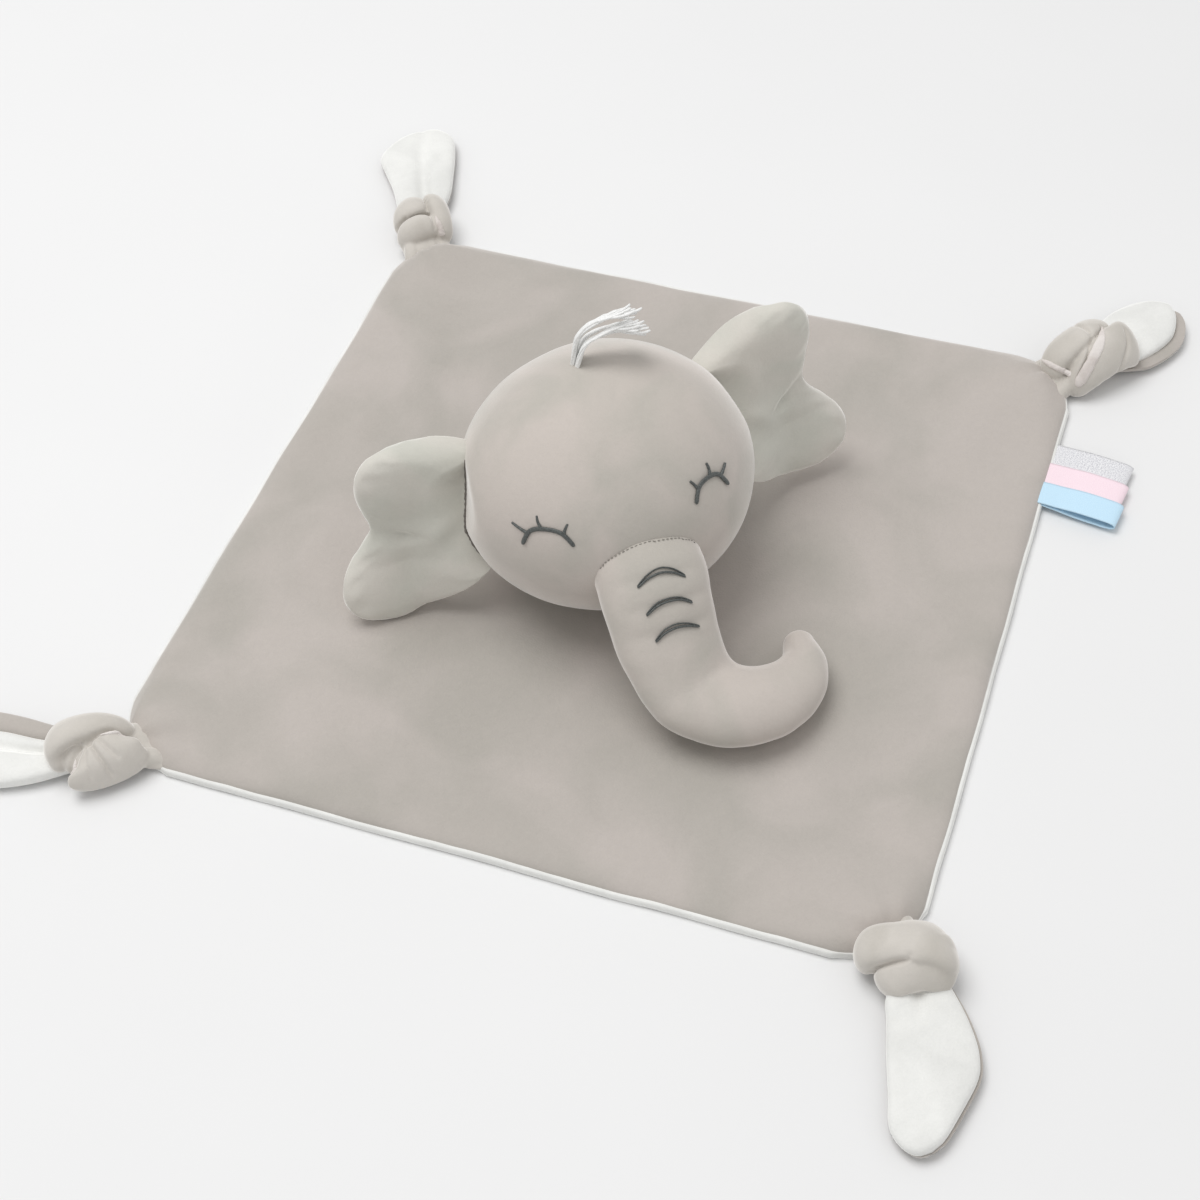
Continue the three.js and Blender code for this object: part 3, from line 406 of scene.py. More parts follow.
satin = {"ribs": 24, "fleck": 40, "fleckAt": 0.6, "metal": 0}
ribbonFinishes = {
    "ribbon_blue": wovenRibbon("blue_satin_ribbon", "#CCE9FA", {**satin, "dark": "#C0E1F6", "rough": 0.38}),
    "ribbon_pink": wovenRibbon("pink_satin_ribbon", "#FBE7EE", {**satin, "dark": "#F5DCE6", "rough": 0.42}),
    "ribbon_silver": wovenRibbon("silver_lame_ribbon", "#F4F4F6", {
        "dark": "#CFCFD4", "ribs": 16, "fleck": 26, "fleckAt": 0.56, "rough": 0.36, "metal": 0.2,
    }),
}

print("materials mixed")


# Camera, lamps and floor

view = {
    "azimuth": -23.3, "elevation": 49.98, "roll": -3.49, "distance": 750.6, "aim": (-17.25, -16.12, 0),
    "lens": 62.54,
}


def setCamera():
    around, above = math.radians(view["azimuth"]), math.radians(view["elevation"])
    back = Vector((
        math.sin(around) * math.cos(above), -math.cos(around) * math.cos(above), math.sin(above),
    ))
    right = (-back).cross(upward).normalized()
    up = right.cross(-back)
    roll = math.radians(view["roll"])
    right, up = math.cos(roll) * right + math.sin(roll) * up, -math.sin(roll) * right + math.cos(roll) * up
    place = (Vector(view["aim"]) + back * view["distance"]) * mm
    data = bpy.data.cameras.new("camera")
    data.lens = view["lens"]
    data.clip_start = 0.01
    camera = bpy.data.objects.new("camera", data)
    bpy.context.collection.objects.link(camera)
    camera.matrix_world = Matrix.Translation(place) @ Matrix((right, up, back)).transposed().to_4x4()
    bpy.context.scene.camera = camera


light = {
    "sky": "#FFFFFF", "skyStrength": 0.63,
    "softbox": (-0.3, 0.3, 1.5), "softboxSize": 1.1, "softboxPower": 13.5,
    "fill": (0.5, -0.9, 0.9), "fillSize": 1.2, "fillPower": 0.8,
    "floorDark": "#E4E4E4", "floorPale": "#E8E8E8", "floorSize": 12,
}


def addLamp(name, place, size, power):
    data = bpy.data.lights.new(name, "AREA")
    data.shape = "DISK"
    data.size = size
    data.energy = power
    lamp = bpy.data.objects.new(name, data)
    bpy.context.collection.objects.link(lamp)
    lamp.location = place
    lamp.rotation_euler = Vector(place).to_track_quat("Z", "Y").to_euler()


def setStudio():
    world = bpy.data.worlds.new("soft_sky")
    world.use_nodes = True
    bpy.context.scene.world = world
    sky = world.node_tree.nodes["Background"]
    sky.inputs["Color"].default_value = linear(light["sky"])
    sky.inputs["Strength"].default_value = light["skyStrength"]
    addLamp("softbox", light["softbox"], light["softboxSize"], light["softboxPower"])
    addLamp("fill", light["fill"], light["fillSize"], light["fillPower"])
    # Matt painted board: even, very slightly mottled
    material, tree, shader = startMaterial("matt_painted_board")
    grain = addNode(tree, "TexNoise", {
        "Vector": addNode(tree, "TexCoord").outputs["Object"], "Scale": 6, "Detail": 2,
    })
    tone = addRamp(tree, grain.outputs["Fac"], light["floorDark"], light["floorPale"])
    feed(tree, shader, {"Base Color": tone, "Roughness": 0.9})
    shape = bmesh.new()
    bmesh.ops.create_grid(shape, x_segments=2, y_segments=2, size=light["floorSize"] / 2 / mm)
    floor = makePiece("floor", shape, material)


setCamera()
setStudio()
bpy.context.scene.view_settings.view_transform = "Standard"
print("studio set")


# The blanket

blanket = {
    "side": 280, "neckInset": 13.5, "drawnIn": 16.5, "liningThick": 2.4, "coverThick": 3.4, "seamLip": 0.3,
    "seamRoll": 1.1, "lap": 0.9, "edgeRound": 8, "dentDeep": 2.2, "swell": 2, "edgeWave": 0.9, "waveLong": 38,
    "waveFade": 0.08, "swellMean": 0.2, "leastDent": 0.25, "cornerBulge": 6, "layerGap": 0.02,
    "puff": 4.4, "puffAt": 7, "puffReach": 15,
}
# folds that run out from a tied neck, their counts taken round its centre
pleat = {
    "deep": 1.6, "reach": 30, "far": 90, "centre": 6, "coarse": 7, "fine": 12, "fineShare": 0.6, "twist": 30,
    "mean": 0.5, "swing": 0.4, "phase": 1.7,
}
# the cloth lies flat under the toy: an oval of this size, then a band over which it begins to swell
underToy = {"wide": 1.45, "deep": 1.15, "ahead": 12, "flatTo": 62, "band": 30}
# height, size and seed of the swells
swells = ((0.7, 42, 1.3), (0.45, 21, 4.1), (0.2, 11, 7.7))
cornerReach = blanket["side"] * math.sqrt(0.5)
neckFaceAt = cornerReach - blanket["neckInset"]
blanketTop = blanket["liningThick"] + blanket["coverThick"]

# dents: centre and radius as shares of half a side, depth as a share of the deepest dent
dentShares = (
    (-0.58, -0.28, 0.34, 1), (0.12, -0.95, 0.32, 0.9), (0.66, -0.42, 0.3, 0.8), (0.42, 0.78, 0.36, 1),
    (-0.52, 0.62, 0.34, 0.8), (-0.16, -0.86, 0.22, 0.6), (0.92, 0.12, 0.26, 0.7),
)


# the sewn outline, with its corners drawn in where they are tied
def outlineAt(u, outset):
    corner = int(u * 4) % 4
    half = blanket["drawnIn"]
    faceAt = cornerReach - half
    sideLong = blanket["side"] - 2 * math.sqrt(2) * half
    run = (u * 4 - int(u * 4)) * (sideLong + 2 * half)
    across = min(run, 2 * half + sideLong - run) / half
    reach = faceAt + outset * 0.5 + blanket["cornerBulge"] * max(0, 1 - across * across)
    if run < half:
        point = Vector((reach, run, 0))
    elif run < half + sideLong:
        start = Vector((faceAt, half, 0))
        end = turned(Vector((faceAt, -half, 0)), quarterTurn)
        share = (run - half) / sideLong
        fade = smooth(share / blanket["waveFade"]) * smooth((1 - share) / blanket["waveFade"])
        outward = Vector((1, 1, 0)).normalized()
        wave = blanket["edgeWave"] * noise.noise(Vector((run / blanket["waveLong"] + 9 * corner, 3.1, 0)))
        point = start.lerp(end, share) + outward * (outset + wave * fade)
    else:
        point = turned(Vector((reach, run - 2 * half - sideLong, 0)), quarterTurn)
    return turned(point, corner * quarterTurn)


def dentAt(x, y):
    half = blanket["side"] / 2
    deep = 0
    for cx, cy, radius, share in dentShares:
        away = math.hypot(x - cx * half, y - cy * half) / (radius * half)
        deep += share * smooth(1 - away)
    return min(deep, 1) * blanket["dentDeep"]


def pleatAt(point):
    deep = 0
    for corner in range(4):
        local = turned(point, -corner * quarterTurn) - Vector((neckFaceAt + pleat["centre"], 0, 0))
        away = local.length
        if away < pleat["far"]:
            angle = math.atan2(local.y, -local.x)
            fold = math.sin(angle * pleat["coarse"] + corner * pleat["phase"] + away / pleat["twist"])
            fold += pleat["fineShare"] * math.sin(angle * pleat["fine"] + corner)
            deep += (pleat["mean"] + pleat["swing"] * fold) * math.exp(-away / pleat["reach"])
    return deep * pleat["deep"]


def coverTopAt(point, share):
    edge = roundShare((1 - share) * blanket["side"] / 2 / blanket["edgeRound"])
    away = math.hypot(point.x / underToy["wide"], (point.y + underToy["ahead"]) / underToy["deep"])
    free = smooth((away - underToy["flatTo"]) / underToy["band"])
    swell = blanket["swell"] * (lumpsOf(point, swells) + blanket["swellMean"]) * free
    sunk = dentAt(point.x, point.y) + pleatAt(point) - swell
    sunk = lerp(max(sunk, blanket["leastDent"]), sunk, free)
    full = blanket["coverThick"] - blanket["seamLip"]
    # each drawn-in corner puffs up where the knot gathers it
    for corner in range(4):
        away = (turned(point, -corner * quarterTurn) - Vector((neckFaceAt - blanket["puffAt"], 0, 0))).length
        full += blanket["puff"] * bump(away, 0, blanket["puffReach"])
    return blanket["liningThick"] + blanket["seamLip"] + (full - sunk) * edge


def makeBlanket():
    around = 560  # steps round the edge
    topShare = 0.9  # of the rings lie on top, the rest underneath

    def placeTop(u, v):
        if v <= topShare:
            share = math.sin(v / topShare * quarterTurn) ** 0.92  # rings draw closer towards the edge
            point = outlineAt(u % 1, 0) * share
            point.z = coverTopAt(point, share)
            return point
        under = (v - topShare) / (1 - topShare)
        point = outlineAt(u % 1, 0) * (1 - under)
        point.z = blanket["liningThick"] + blanket["layerGap"]
        return point

    top = makeSheetPiece("blanket_top", around, 110, placeTop, blanketVelour, "blanket")
    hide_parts("top_panel")

    thick = blanket["liningThick"]
    lap = thick + blanket["lap"]
    rimFrom, rimTo, rimWide = 0.3, 0.7, 0.4  # the rings that go round the edge
    lapFrom, lapWide = 0.985, 0.015

    # its turned edge laps up over the edge of the cover
    def placeLining(u, v):
        share, outset, z = 1, 0.1, 0
        if v < rimFrom:
            share = v / rimFrom
            z = thick + blanket["lap"] * smooth((share - lapFrom) / lapWide)
        elif v < rimTo:
            turn = (v - rimFrom) / rimWide * math.pi
            outset += blanket["seamRoll"] * math.sin(turn) ** 0.7
            z = lap / 2 * (1 + math.cos(turn))
        else:
            share = (1 - v) / rimFrom
        point = outlineAt(u % 1, outset) * share
        lumpy = 0.25 * smooth((share - lapFrom) / lapWide) * lumps(point, 9, 2.2)
        point.z = max(0, z + (lumpy if z > 0 else 0))
        return point

    lining = makeSheetPiece("blanket_lining", around, 40, placeLining, liningPlush, "blanket")
    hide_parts("lining_panel")


makeBlanket()
print("blanket laid")


# The head

head = {
    "width": 104, "depth": 98, "height": 88, "centreX": -6.6, "centreY": -3.5,
    "turn": math.radians(-3.5), "roll": math.radians(-2.2), "flattening": 1.2,
    "wall": 1.6, "earFlat": 6, "earFlatCrown": 1, "gap": 0.3, "restRound": 6, "fillGap": 1.2,
    "cheek": (1.5, 5.5), "cheekTop": 15, "cheekHigh": 35,
}
headLumps = ((0.55, 30, 3.3), (0.22, 14, 8.1))
ear = {
    "seamHeight": 40, "middleRise": 41.8, "seamLean": 0.5, "seamTurn": math.radians(9), "reach": 50,
    "height": 79, "thickness": 13, "rootRadius": 2.2, "outerBack": 14.5, "settle": 9.6,
    "tuck": 9, "tuckFrom": 0.24, "tuckOver": 0.2, "tuckShrink": 0.35, "tuckShare": 0.08,
    "liftOut": 18, "liftUp": 10, "fillInset": 3, "fillSpan": (0.42, 0.97), "bend": (2, 5),
}
halfWidth, halfDepth, halfHeight = head["width"] / 2, head["depth"] / 2, head["height"] / 2
headCentreZ = blanketTop + head["gap"] + halfHeight - head["flattening"]
headRestZ = blanketTop + head["gap"] - headCentreZ
headAt = Matrix.Translation((head["centreX"], head["centreY"], headCentreZ))
headPlace = headAt @ Matrix.Rotation(head["turn"], 4, "Z")


def rolled(point):
    return turned(point, head["roll"], "Y")


def seamFrame(side):
    along = Vector((-side * ear["seamLean"] / 3, ear["seamLean"], 1)).normalized()
    outward = Vector((side * math.cos(ear["seamTurn"]), math.sin(ear["seamTurn"]), 0))
    outward = (outward - along * outward.dot(along)).normalized()
    return along, outward


def seamFlatAt(side):
    outward = seamFrame(side)[1]
    return math.hypot(outward.x * halfWidth, outward.y * halfDepth, outward.z * halfHeight) - head["earFlat"]


earSeamFlats = [(seamFrame(side)[1], seamFlatAt(side)) for side in (-1, 1)]


# the stuffed cheeks bulge a little over the flat seams of the ears, most at their foot
def cheekAt(point):
    return lerp(*head["cheek"], smooth((head["cheekTop"] - point.z) / head["cheekHigh"]))


def ballPoint(direction, inset):
    point = Vector((
        direction.x * (halfWidth - inset), direction.y * (halfDepth - inset), direction.z * (halfHeight - inset),
    ))
    for outward, flatAt in earSeamFlats:
        beyond = point.dot(outward) - (flatAt - inset + (0 if inset > 0 else cheekAt(point)))
        if beyond > 0:
            crown = head["earFlatCrown"]
            point += outward * (crown * math.tanh(beyond / crown) - beyond)
    return point


def headPoint(direction, inset=0):
    point = rolled(ballPoint(direction, inset))
    point.z = max(point.z, headRestZ + inset)
    return point


# a point of the face, across and up from the head's centre
def facePoint(x, z, out):
    across, up = x / (halfWidth + out), z / (halfHeight + out)
    y = -math.sqrt(max(0, 1 - across * across - up * up))
    return rolled(ballPoint(Vector((across, y, up)), -out))


eye = {
    "apart": 0.545, "centre": -0.048, "height": 0.193, "lift": 0.016, "wide": 0.139, "rise": 0.074,
    "threadWide": 0.82, "threadThick": 0.5, "lashWide": 0.58, "lashTaper": (1.1, 0.7), "endRound": 0.08,
    "ribs": 210, "ribHigh": 0.08, "out": 0.25, "halo": 1.6, "haloDeep": 0.35,
}
lidShares = ((-0.51, -0.49), (-0.29, 0.34), (0, 0.63), (0.31, 0.57), (0.49, 0))
lashShares = (
    ((-0.36, 0.2), (-0.47, 0.3), (-0.57, 0.4)),
    ((-0.05, 0.6), (-0.08, 0.85), (-0.06, 1.14)),
    ((0.33, 0.5), (0.4, 0.78), (0.49, 1.05)),
)


def eyeWay(side, places, out):
    middle = eye["centre"] + side * eye["apart"] / 2
    level = eye["height"] + side * eye["lift"]
    return [facePoint(
        head["width"] * (middle - side * x * eye["wide"]),
        head["height"] * (level + z * eye["rise"]), out,
    ) for x, z in places]


# the thread draws the cloth in a little under each lid
eyeMarks = [wayAt(eyeWay(side, lidShares, 0), i / 12) for side in (-1, 1) for i in range(13)]


def headSkin(direction):
    point = headPoint(direction)
    out = Vector((direction.x / halfWidth, direction.y / halfDepth, direction.z / halfHeight)).normalized()
    push = lumpsOf(point, headLumps)
    if direction.y < 0:
        near = min((point - mark).length for mark in eyeMarks)
        push -= eye["haloDeep"] * math.exp(-((near / eye["halo"]) ** 2))
    return point + rolled(out) * push * smooth((point.z - headRestZ) / head["restRound"])


def makeHead():
    shape = bmesh.new()
    addBall(shape, 150, 100, lambda point: headPlace @ headSkin(point.normalized()))
    cover = makePiece("head_skin", shape, headVelour, "head")
    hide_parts("head_cover")

    def placeFill(point):
        inside = headPoint(point.normalized(), head["wall"] + head["fillGap"])
        return headPlace @ (inside * (1 + lumpsOf(inside, ((0.015, 9, 5.5),))))

    shape = bmesh.new()
    addBall(shape, 48, 32, placeFill)
    stuffing = makePiece("head_fill", shape, fibreFill, "head")
    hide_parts("head_stuffing")


def makeEyes():
    for side, name in ((-1, "left"), (1, "right")):
        shape = bmesh.new()
        out = lambda point, t: point
        ribs = lambda v, angle: 1 + eye["ribHigh"] * math.sin(v * eye["ribs"])
        taper = lambda v: roundedEnds(v, eye["endRound"])
        size = lambda v: (eye["threadWide"] * taper(v), eye["threadThick"] * taper(v))
        addRoll(shape, eyeWay(side, lidShares, eye["out"]), size, out, 90, 10, ribs)
        for places in lashShares:
            lash = lambda v: (eye["lashWide"] * taper(v) * lerp(*eye["lashTaper"], v), eye["threadThick"] * taper(v))
            addRoll(shape, eyeWay(side, places, eye["out"]), lash, out, 36, 8, ribs)
        stitching = makePiece(name + "_eye_satin_stitch", shape, satinThread, "head", headPlace)
        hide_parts(name + "_eye_stitching")


makeHead()
makeEyes()
print("head stuffed")


# The ears

# outer edge from the seam's top round to its foot: shares of the reach and of the height
earOutline = vectors((
    (-0.22, 0.21, 0), (-0.04, 0.27, 0), (0.14, 0.325, 0), (0.28, 0.37, 0), (0.39, 0.405, 0), (0.52, 0.415, 0),
    (0.63, 0.38, 0), (0.7, 0.31, 0), (0.72, 0.21, 0), (0.69, 0.08, 0), (0.67, -0.03, 0), (0.74, -0.115, 0),
    (0.84, -0.19, 0), (0.94, -0.27, 0), (0.98, -0.36, 0), (0.92, -0.45, 0), (0.74, -0.5, 0), (0.52, -0.5, 0),
    (0.32, -0.43, 0), (0.14, -0.33, 0), (-0.04, -0.23, 0),
), (ear["reach"], ear["height"], 1))
# the left ear's upper lobe hangs a little lower than the right's
lobeLift = {-1: -0.025, 1: 0.04}
earFold = {
    "waistAt": 0.46, "waistWide": 0.05, "waistDeep": 0.3, "waistGrow": 1.3, "grow": 0.4, "edge": 0.5,
    "endFull": 1.25, "rootFull": 0.75,
}
# a crease runs from the waist down into the lower lobe
earCrease = {"deep": 0.45, "from": 0.4, "over": 0.25, "end": 0.485, "slant": 0.16, "wide": 0.022}
earPucker = {"high": 0.22, "at": 0.93, "wide": 0.06, "folds": 95}
earSeam = {
    "out": 0.1, "thick": 0.45, "spread": (0.1, 0.88), "points": 24, "tries": 70, "turns": 110, "turnHigh": 0.2,
    "outward": Vector((0, -1, 0.2)),
}


def earHinge(side):
    along, outward = seamFrame(side)
    middle = outward * (seamFlatAt(side) + head["earFlatCrown"] + head["gap"] + ear["rootRadius"])
    return middle + along * ((headRestZ + ear["middleRise"] - middle.z) / along.z)


def earBackAt(out, height, seamY):
    outer = ear["outerBack"] - ear["settle"] * min(max(0, -height - ear["height"] / 5) / (ear["height"] / 3), 1)
    return lerp(seamY, outer, smooth(out / (ear["reach"] / 2)))


def earFullness(side, t, v):
    rootShare = 2 * ear["rootRadius"] / ear["thickness"]
    across = min(1, earFold["endFull"] * math.sqrt(max(0, 1 - (2 * v - 1) ** 2)))
    grown = lerp(rootShare * earFold["rootFull"], 1, smooth(t / earFold["grow"]))
    closed = roundShare((1 - t) / earFold["edge"])
    drawn = smooth(t * earFold["waistGrow"])
    waist = 1 - earFold["waistDeep"] * drawn * bump(v, earFold["waistAt"], earFold["waistWide"])
    creaseAt = earCrease["end"] + earCrease["slant"] * (1 - t)
    sunk = earCrease["deep"] * smooth((t - earCrease["from"]) / earCrease["over"])
    crease = 1 - sunk * bump(v, creaseAt, earCrease["wide"])
    puckered = earPucker["high"] * bump(t, earPucker["at"], earPucker["wide"])
    pucker = 1 + puckered * math.sin(v * earPucker["folds"] + side) * 0.5
    return across * grown * closed * waist * crease * pucker


def earPoint(side, t, v, face, inset):
    hinge = earHinge(side)
    along, outward = seamFrame(side)
    edgeInset = 1 - inset / (ear["thickness"] * 1.5)
    edge = wayAt(earOutline, v)
    reach = max(t, 0)
    seam = hinge + along * (ear["seamHeight"] * (0.5 - v) * edgeInset)
    # both ends of the seam run in under the cheek
    tuckedEnd = ear["tuck"] * smooth((abs(v - 0.5) - ear["tuckFrom"]) / ear["tuckOver"])
    lift = lobeLift[side] * ear["height"] * smooth(edge.x / ear["liftOut"]) * smooth(edge.y / ear["liftUp"])
    height = lerp(seam.z, (edge.y + lift) * edgeInset, reach)
    seamY = hinge.y + (height - hinge.z) * (along.y / along.z)
    full = earFullness(side, reach, v) * (ear["thickness"] / 2 - inset)
    x = lerp(seam.x - side * tuckedEnd, hinge.x + side * edge.x * edgeInset, reach)
    y = earBackAt(edge.x * reach * edgeInset, height, seamY)
    point = Vector((x, y + face * full, height))
    if t < 0:  # the root tucks into the head's seam
        point += outward * (t * ear["tuck"]) + along * (t * ear["tuckShrink"] * ear["seamHeight"] * (0.5 - v))
        point.y -= face * full * smooth(-t)
    point.y += lumpsOf(point, ((0.35, 13, 6 + side),)) * smooth(reach * 3) * roundShare((1 - reach) / 0.3)
    rest = rolled(point)
    rest.z = max(rest.z, headRestZ + head["gap"] + inset)
    return rest


def bendAtEar(piece):
    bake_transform(piece)


def makeEars():
    for side, name in ((-1, "left"), (1, "right")):
        def place(u, w, inset=0, first=-1.0):
            face = -1 if u < 0.5 else 1
            v = 2 * u if u < 0.5 else 2 - 2 * u
            tucked = ear["tuckShare"]
            t = lerp(first, 0, w / tucked) if w < tucked else (w - tucked) / (1 - tucked)
            return headPlace @ earPoint(side, t, v, face, inset)

        cover = makeSheetPiece(name + "_ear_skin", 160, 60, place, earVelourPaintedLight, closed=True)
        bendAtEar(cover)
        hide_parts(name + "_ear_cover")

        placeFill = lambda u, w: place(u, lerp(*ear["fillSpan"], w), ear["fillInset"], 0)
        wadding = makeSheetPiece(name + "_ear_fill", 48, 20, placeFill, fibreFill, name + "_ear", 0.05)
        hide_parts(name + "_ear_wadding")


# a sunk row of dark thread along the seam where an ear meets the cheek: the seam is real, and its darkness is painted
# shadow for the shade in that crease
def makeEarSeams():
    surface = surfaceOf(bpy.data.objects["head_skin"])
    for side, name in ((-1, "left"), (1, "right")):
        way = []
        for step in range(earSeam["points"] + 1):
            v = lerp(*earSeam["spread"], step / earSeam["points"])
            # goes out over the ear until it stands clear of the cheek
            for tried in range(earSeam["tries"]):
                point = headPlace @ earPoint(side, tried / (2 * earSeam["tries"]), v, -1, 0)
                near, normal = surface.find_nearest(point * mm)[:2]
                if (point * mm - near).dot(normal) > earSeam["out"] * mm:
                    break
            way.append(point)
        shape = bmesh.new()
        twist = lambda t: 1 + earSeam["turnHigh"] * math.sin(t * earSeam["turns"])
        size = lambda t: (earSeam["thick"] * roundedEnds(t, 0.12, 0.04) * twist(t),) * 2
        addRoll(shape, way, size, lambda point, t: earSeam["outward"], 150, 8)
        row = makePiece(name + "_ear_seam_painted_shadow", shape, earSeamShadowThread)
        bendAtEar(row)


makeEars()
makeEarSeams()
print("ears sewn on")


# The trunk

trunk = {
    "rootWidth": 38, "rootHeight": 29, "wall": 1.5, "tipRadius": 5.5, "tipFrom": 0.86, "grain": 0.9,
    "curlAt": (15, -69, -25), "curlReach": 17, "curlNarrows": 0.7, "easing": 70,
    "fillGap": 1.2, "fillFrom": 0.16, "fillEnd": 0.14,
    "hinge": (-13.48, -49.43, 63.37), "bend": (9, 3), "bendAt": 0.15,
}
trunkLumps = ((0.5, 17, 2.7), (0.25, 8, 5.2))
# the trunk's middle line from the head's centre, as shares of the head's width, depth and height
trunkWay = vectors((
    (-0.033, -0.367, 0.011), (-0.038, -0.48, -0.006), (-0.047, -0.571, -0.08), (-0.049, -0.673, -0.193),
    (-0.026, -0.79, -0.307), (0.018, -0.855, -0.339), (0.08, -0.9, -0.352), (0.18, -0.922, -0.368),
    (0.288, -0.892, -0.384), (0.366, -0.818, -0.395), (0.398, -0.72, -0.411),
), (head["width"], head["depth"], head["height"]))
# its width and height along that line, as shares of those at the root
trunkSize = vectors((
    (1, 0.95, 0), (1, 0.98, 0), (0.97, 0.95, 0), (0.95, 0.87, 0), (0.91, 0.8, 0), (0.87, 0.79, 0), (0.82, 0.78, 0),
    (0.74, 0.74, 0), (0.61, 0.65, 0), (0.46, 0.52, 0), (0.3, 0.38, 0),
))
trunkLines = {
    "at": (0.146, 0.213, 0.272), "spread": (0.37, 0.44, 0.515, 0.59, 0.66), "bow": (0, 0.013, 0.018, 0.013, 0),
    "wide": 0.0085, "edges": (0.42, 0.26), "thick": 0.42, "ribs": 190, "ribHigh": 0.08, "out": 0.15,
    "drawIn": 0.5, "middle": 0.014, "reach": 0.012, "bowed": 0.65,
}


def trunkFrame(s):
    step = 0.004
    along = (wayAt(trunkWay, s + step) - wayAt(trunkWay, s - step)).normalized()
    side = along.cross(upward).normalized()
    return wayAt(trunkWay, s), along, side, side.cross(along)


def trunkPoint(s, angle, inset=0, shrink=1, forward=0):
    centre, along, side, up = trunkFrame(s)
    size = wayAt(trunkSize, s)
    wide = (trunk["rootWidth"] / 2 * size.x - inset) * shrink
    high = (trunk["rootHeight"] / 2 * size.y - inset) * shrink
    point = centre + along * forward + side * (wide * math.cos(angle)) + up * (high * math.sin(angle))
    point.z = max(point.z, headRestZ + head["gap"] + inset)
    return point


def trunkSkin(s, angle, inset=0, shrink=1, forward=0):
    sunk = inset
    for at in trunkLines["at"]:
        drawn = bump(s, at - trunkLines["middle"], trunkLines["reach"])
        sunk += trunkLines["drawIn"] * drawn * smooth((math.sin(angle) - 0.45) / 0.4)
    point = trunkPoint(s, angle, sunk, shrink, forward)
    return trunkPoint(s, angle, sunk - lumpsOf(point, trunkLumps), shrink, forward)


# eases the cloth on the inside of the curl, most where it is tightest
def easeCurl(piece):
    inside = headPlace @ Vector(trunk["curlAt"]) * mm
    shape = bmesh.new()
    shape.from_mesh(piece.data)
    for done in range(trunk["easing"]):
        reach = trunk["curlReach"] * (1 - trunk["curlNarrows"] * done / trunk["easing"]) * mm
        near = [vert for vert in shape.verts if (vert.co - inside).length < reach]
        easeOnce(shape, near)
    shape.to_mesh(piece.data)
    shape.free()


seamStitch = {"count": 26, "spread": (0.16, 0.84), "long": 0.62, "wide": 0.17, "out": 0.12, "clear": 1.012}


def outsideHead(point):
    flat = turned(point, -head["roll"], "Y")
    return (flat.x / halfWidth) ** 2 + (flat.y / halfDepth) ** 2 + (flat.z / halfHeight) ** 2 > seamStitch["clear"]


def makeTrunk():
    def place(u, w, inset=0):
        angle, tipFrom = u * fullTurn, trunk["tipFrom"]
        if w < tipFrom:
            return headPlace @ trunkSkin(w / tipFrom, angle, inset)
        turn = (w - tipFrom) / (1 - tipFrom) * quarterTurn
        forward = (trunk["tipRadius"] - inset) * math.sin(turn)
        return headPlace @ trunkSkin(1, angle, inset, math.cos(turn), forward)

    def placeClosed(u, w):
        return place(u, w) if w > 0 else headPlace @ wayAt(trunkWay, 0)

    cover = makeSheetPiece("trunk_skin", 110, 170, placeClosed, headVelour)
    meltTogether(cover, trunk["grain"], 2)
    easeCurl(cover)
    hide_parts("trunk_cover")

    def placeFill(u, w):
        if w == 0:
            return headPlace @ wayAt(trunkWay, trunk["fillEnd"])
        return place(u, lerp(trunk["fillFrom"], 1, w), trunk["wall"] + trunk["fillGap"])

    stuffing = makeSheetPiece("trunk_fill", 36, 40, placeFill, fibreFill, "trunk", 0.05)
    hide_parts("trunk_stuffing")

    covers = [cover]
    deepest, bowed, out = max(trunkLines["bow"]), trunkLines["bowed"], trunkLines["out"]
    ribs = lambda v, angle: 1 + trunkLines["ribHigh"] * math.sin(v * trunkLines["ribs"])
    for i, at in enumerate(trunkLines["at"]):
        shape = bmesh.new()
        # a thick and a thin dark edge, further apart in the middle than at their ends
        for lift, wide in zip((0, trunkLines["wide"]), trunkLines["edges"]):
            way = [
                trunkPoint(at - bow - lift * (1 - bowed + bowed * bow / deepest), math.pi * spread, -out)
                for spread, bow in zip(trunkLines["spread"], trunkLines["bow"])
            ]
            size = lambda v: (wide * roundedEnds(v, 0.1), trunkLines["thick"] * roundedEnds(v, 0.1))
            addRoll(shape, way, size, lambda point, t, s=at: point - wayAt(trunkWay, s), 80, 8, ribs)
        line = makePiece(f"trunk_satin_line_{i + 1}", shape, satinThread, at=headPlace)
        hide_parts(f"trunk_line_{i + 1}")
        covers.append(line)

    # a row of short stitches where the trunk is sewn to the face
    trunkShares = [k / 400 for k in range(20, 120)]
    shape = bmesh.new()
    for i in range(seamStitch["count"]):
        way = []
        for j in range(3):
            angle = math.pi * lerp(*seamStitch["spread"], (i + j / 2 * seamStitch["long"]) / seamStitch["count"])
            s = next(share for share in trunkShares if outsideHead(trunkPoint(share, angle)))
            way.append(trunkPoint(s, angle, -seamStitch["out"]))
        size = lambda v: (seamStitch["wide"] * roundedEnds(v, 0.25, 0.05),) * 2
        addRoll(shape, way, size, lambda point, t: point, 8, 6)
    stitches = makePiece("trunk_seam_stitches", shape, seamThread, "head", headPlace)

    # the trunk's heading where it would bend is worked out but not used; the cover and its satin lines are baked in
    # place
    ahead = (headPlace.to_3x3() @ trunkFrame(trunk["bendAt"])[1]).normalized()
    for piece in covers:
        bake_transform(piece)


makeTrunk()
print("trunk sewn on")


# The forelock and the neck stitches

yarn = {
    "thick": 2.1, "length": 30, "rootX": -3, "rootY": 14, "plies": 7, "twist": 7, "plyShare": 0.2, "plyWide": 1.1,
    "spread": 1.5, "openFrom": 0.62, "opening": 6, "loose": 0.4, "flat": 0.6, "steps": 40,
}
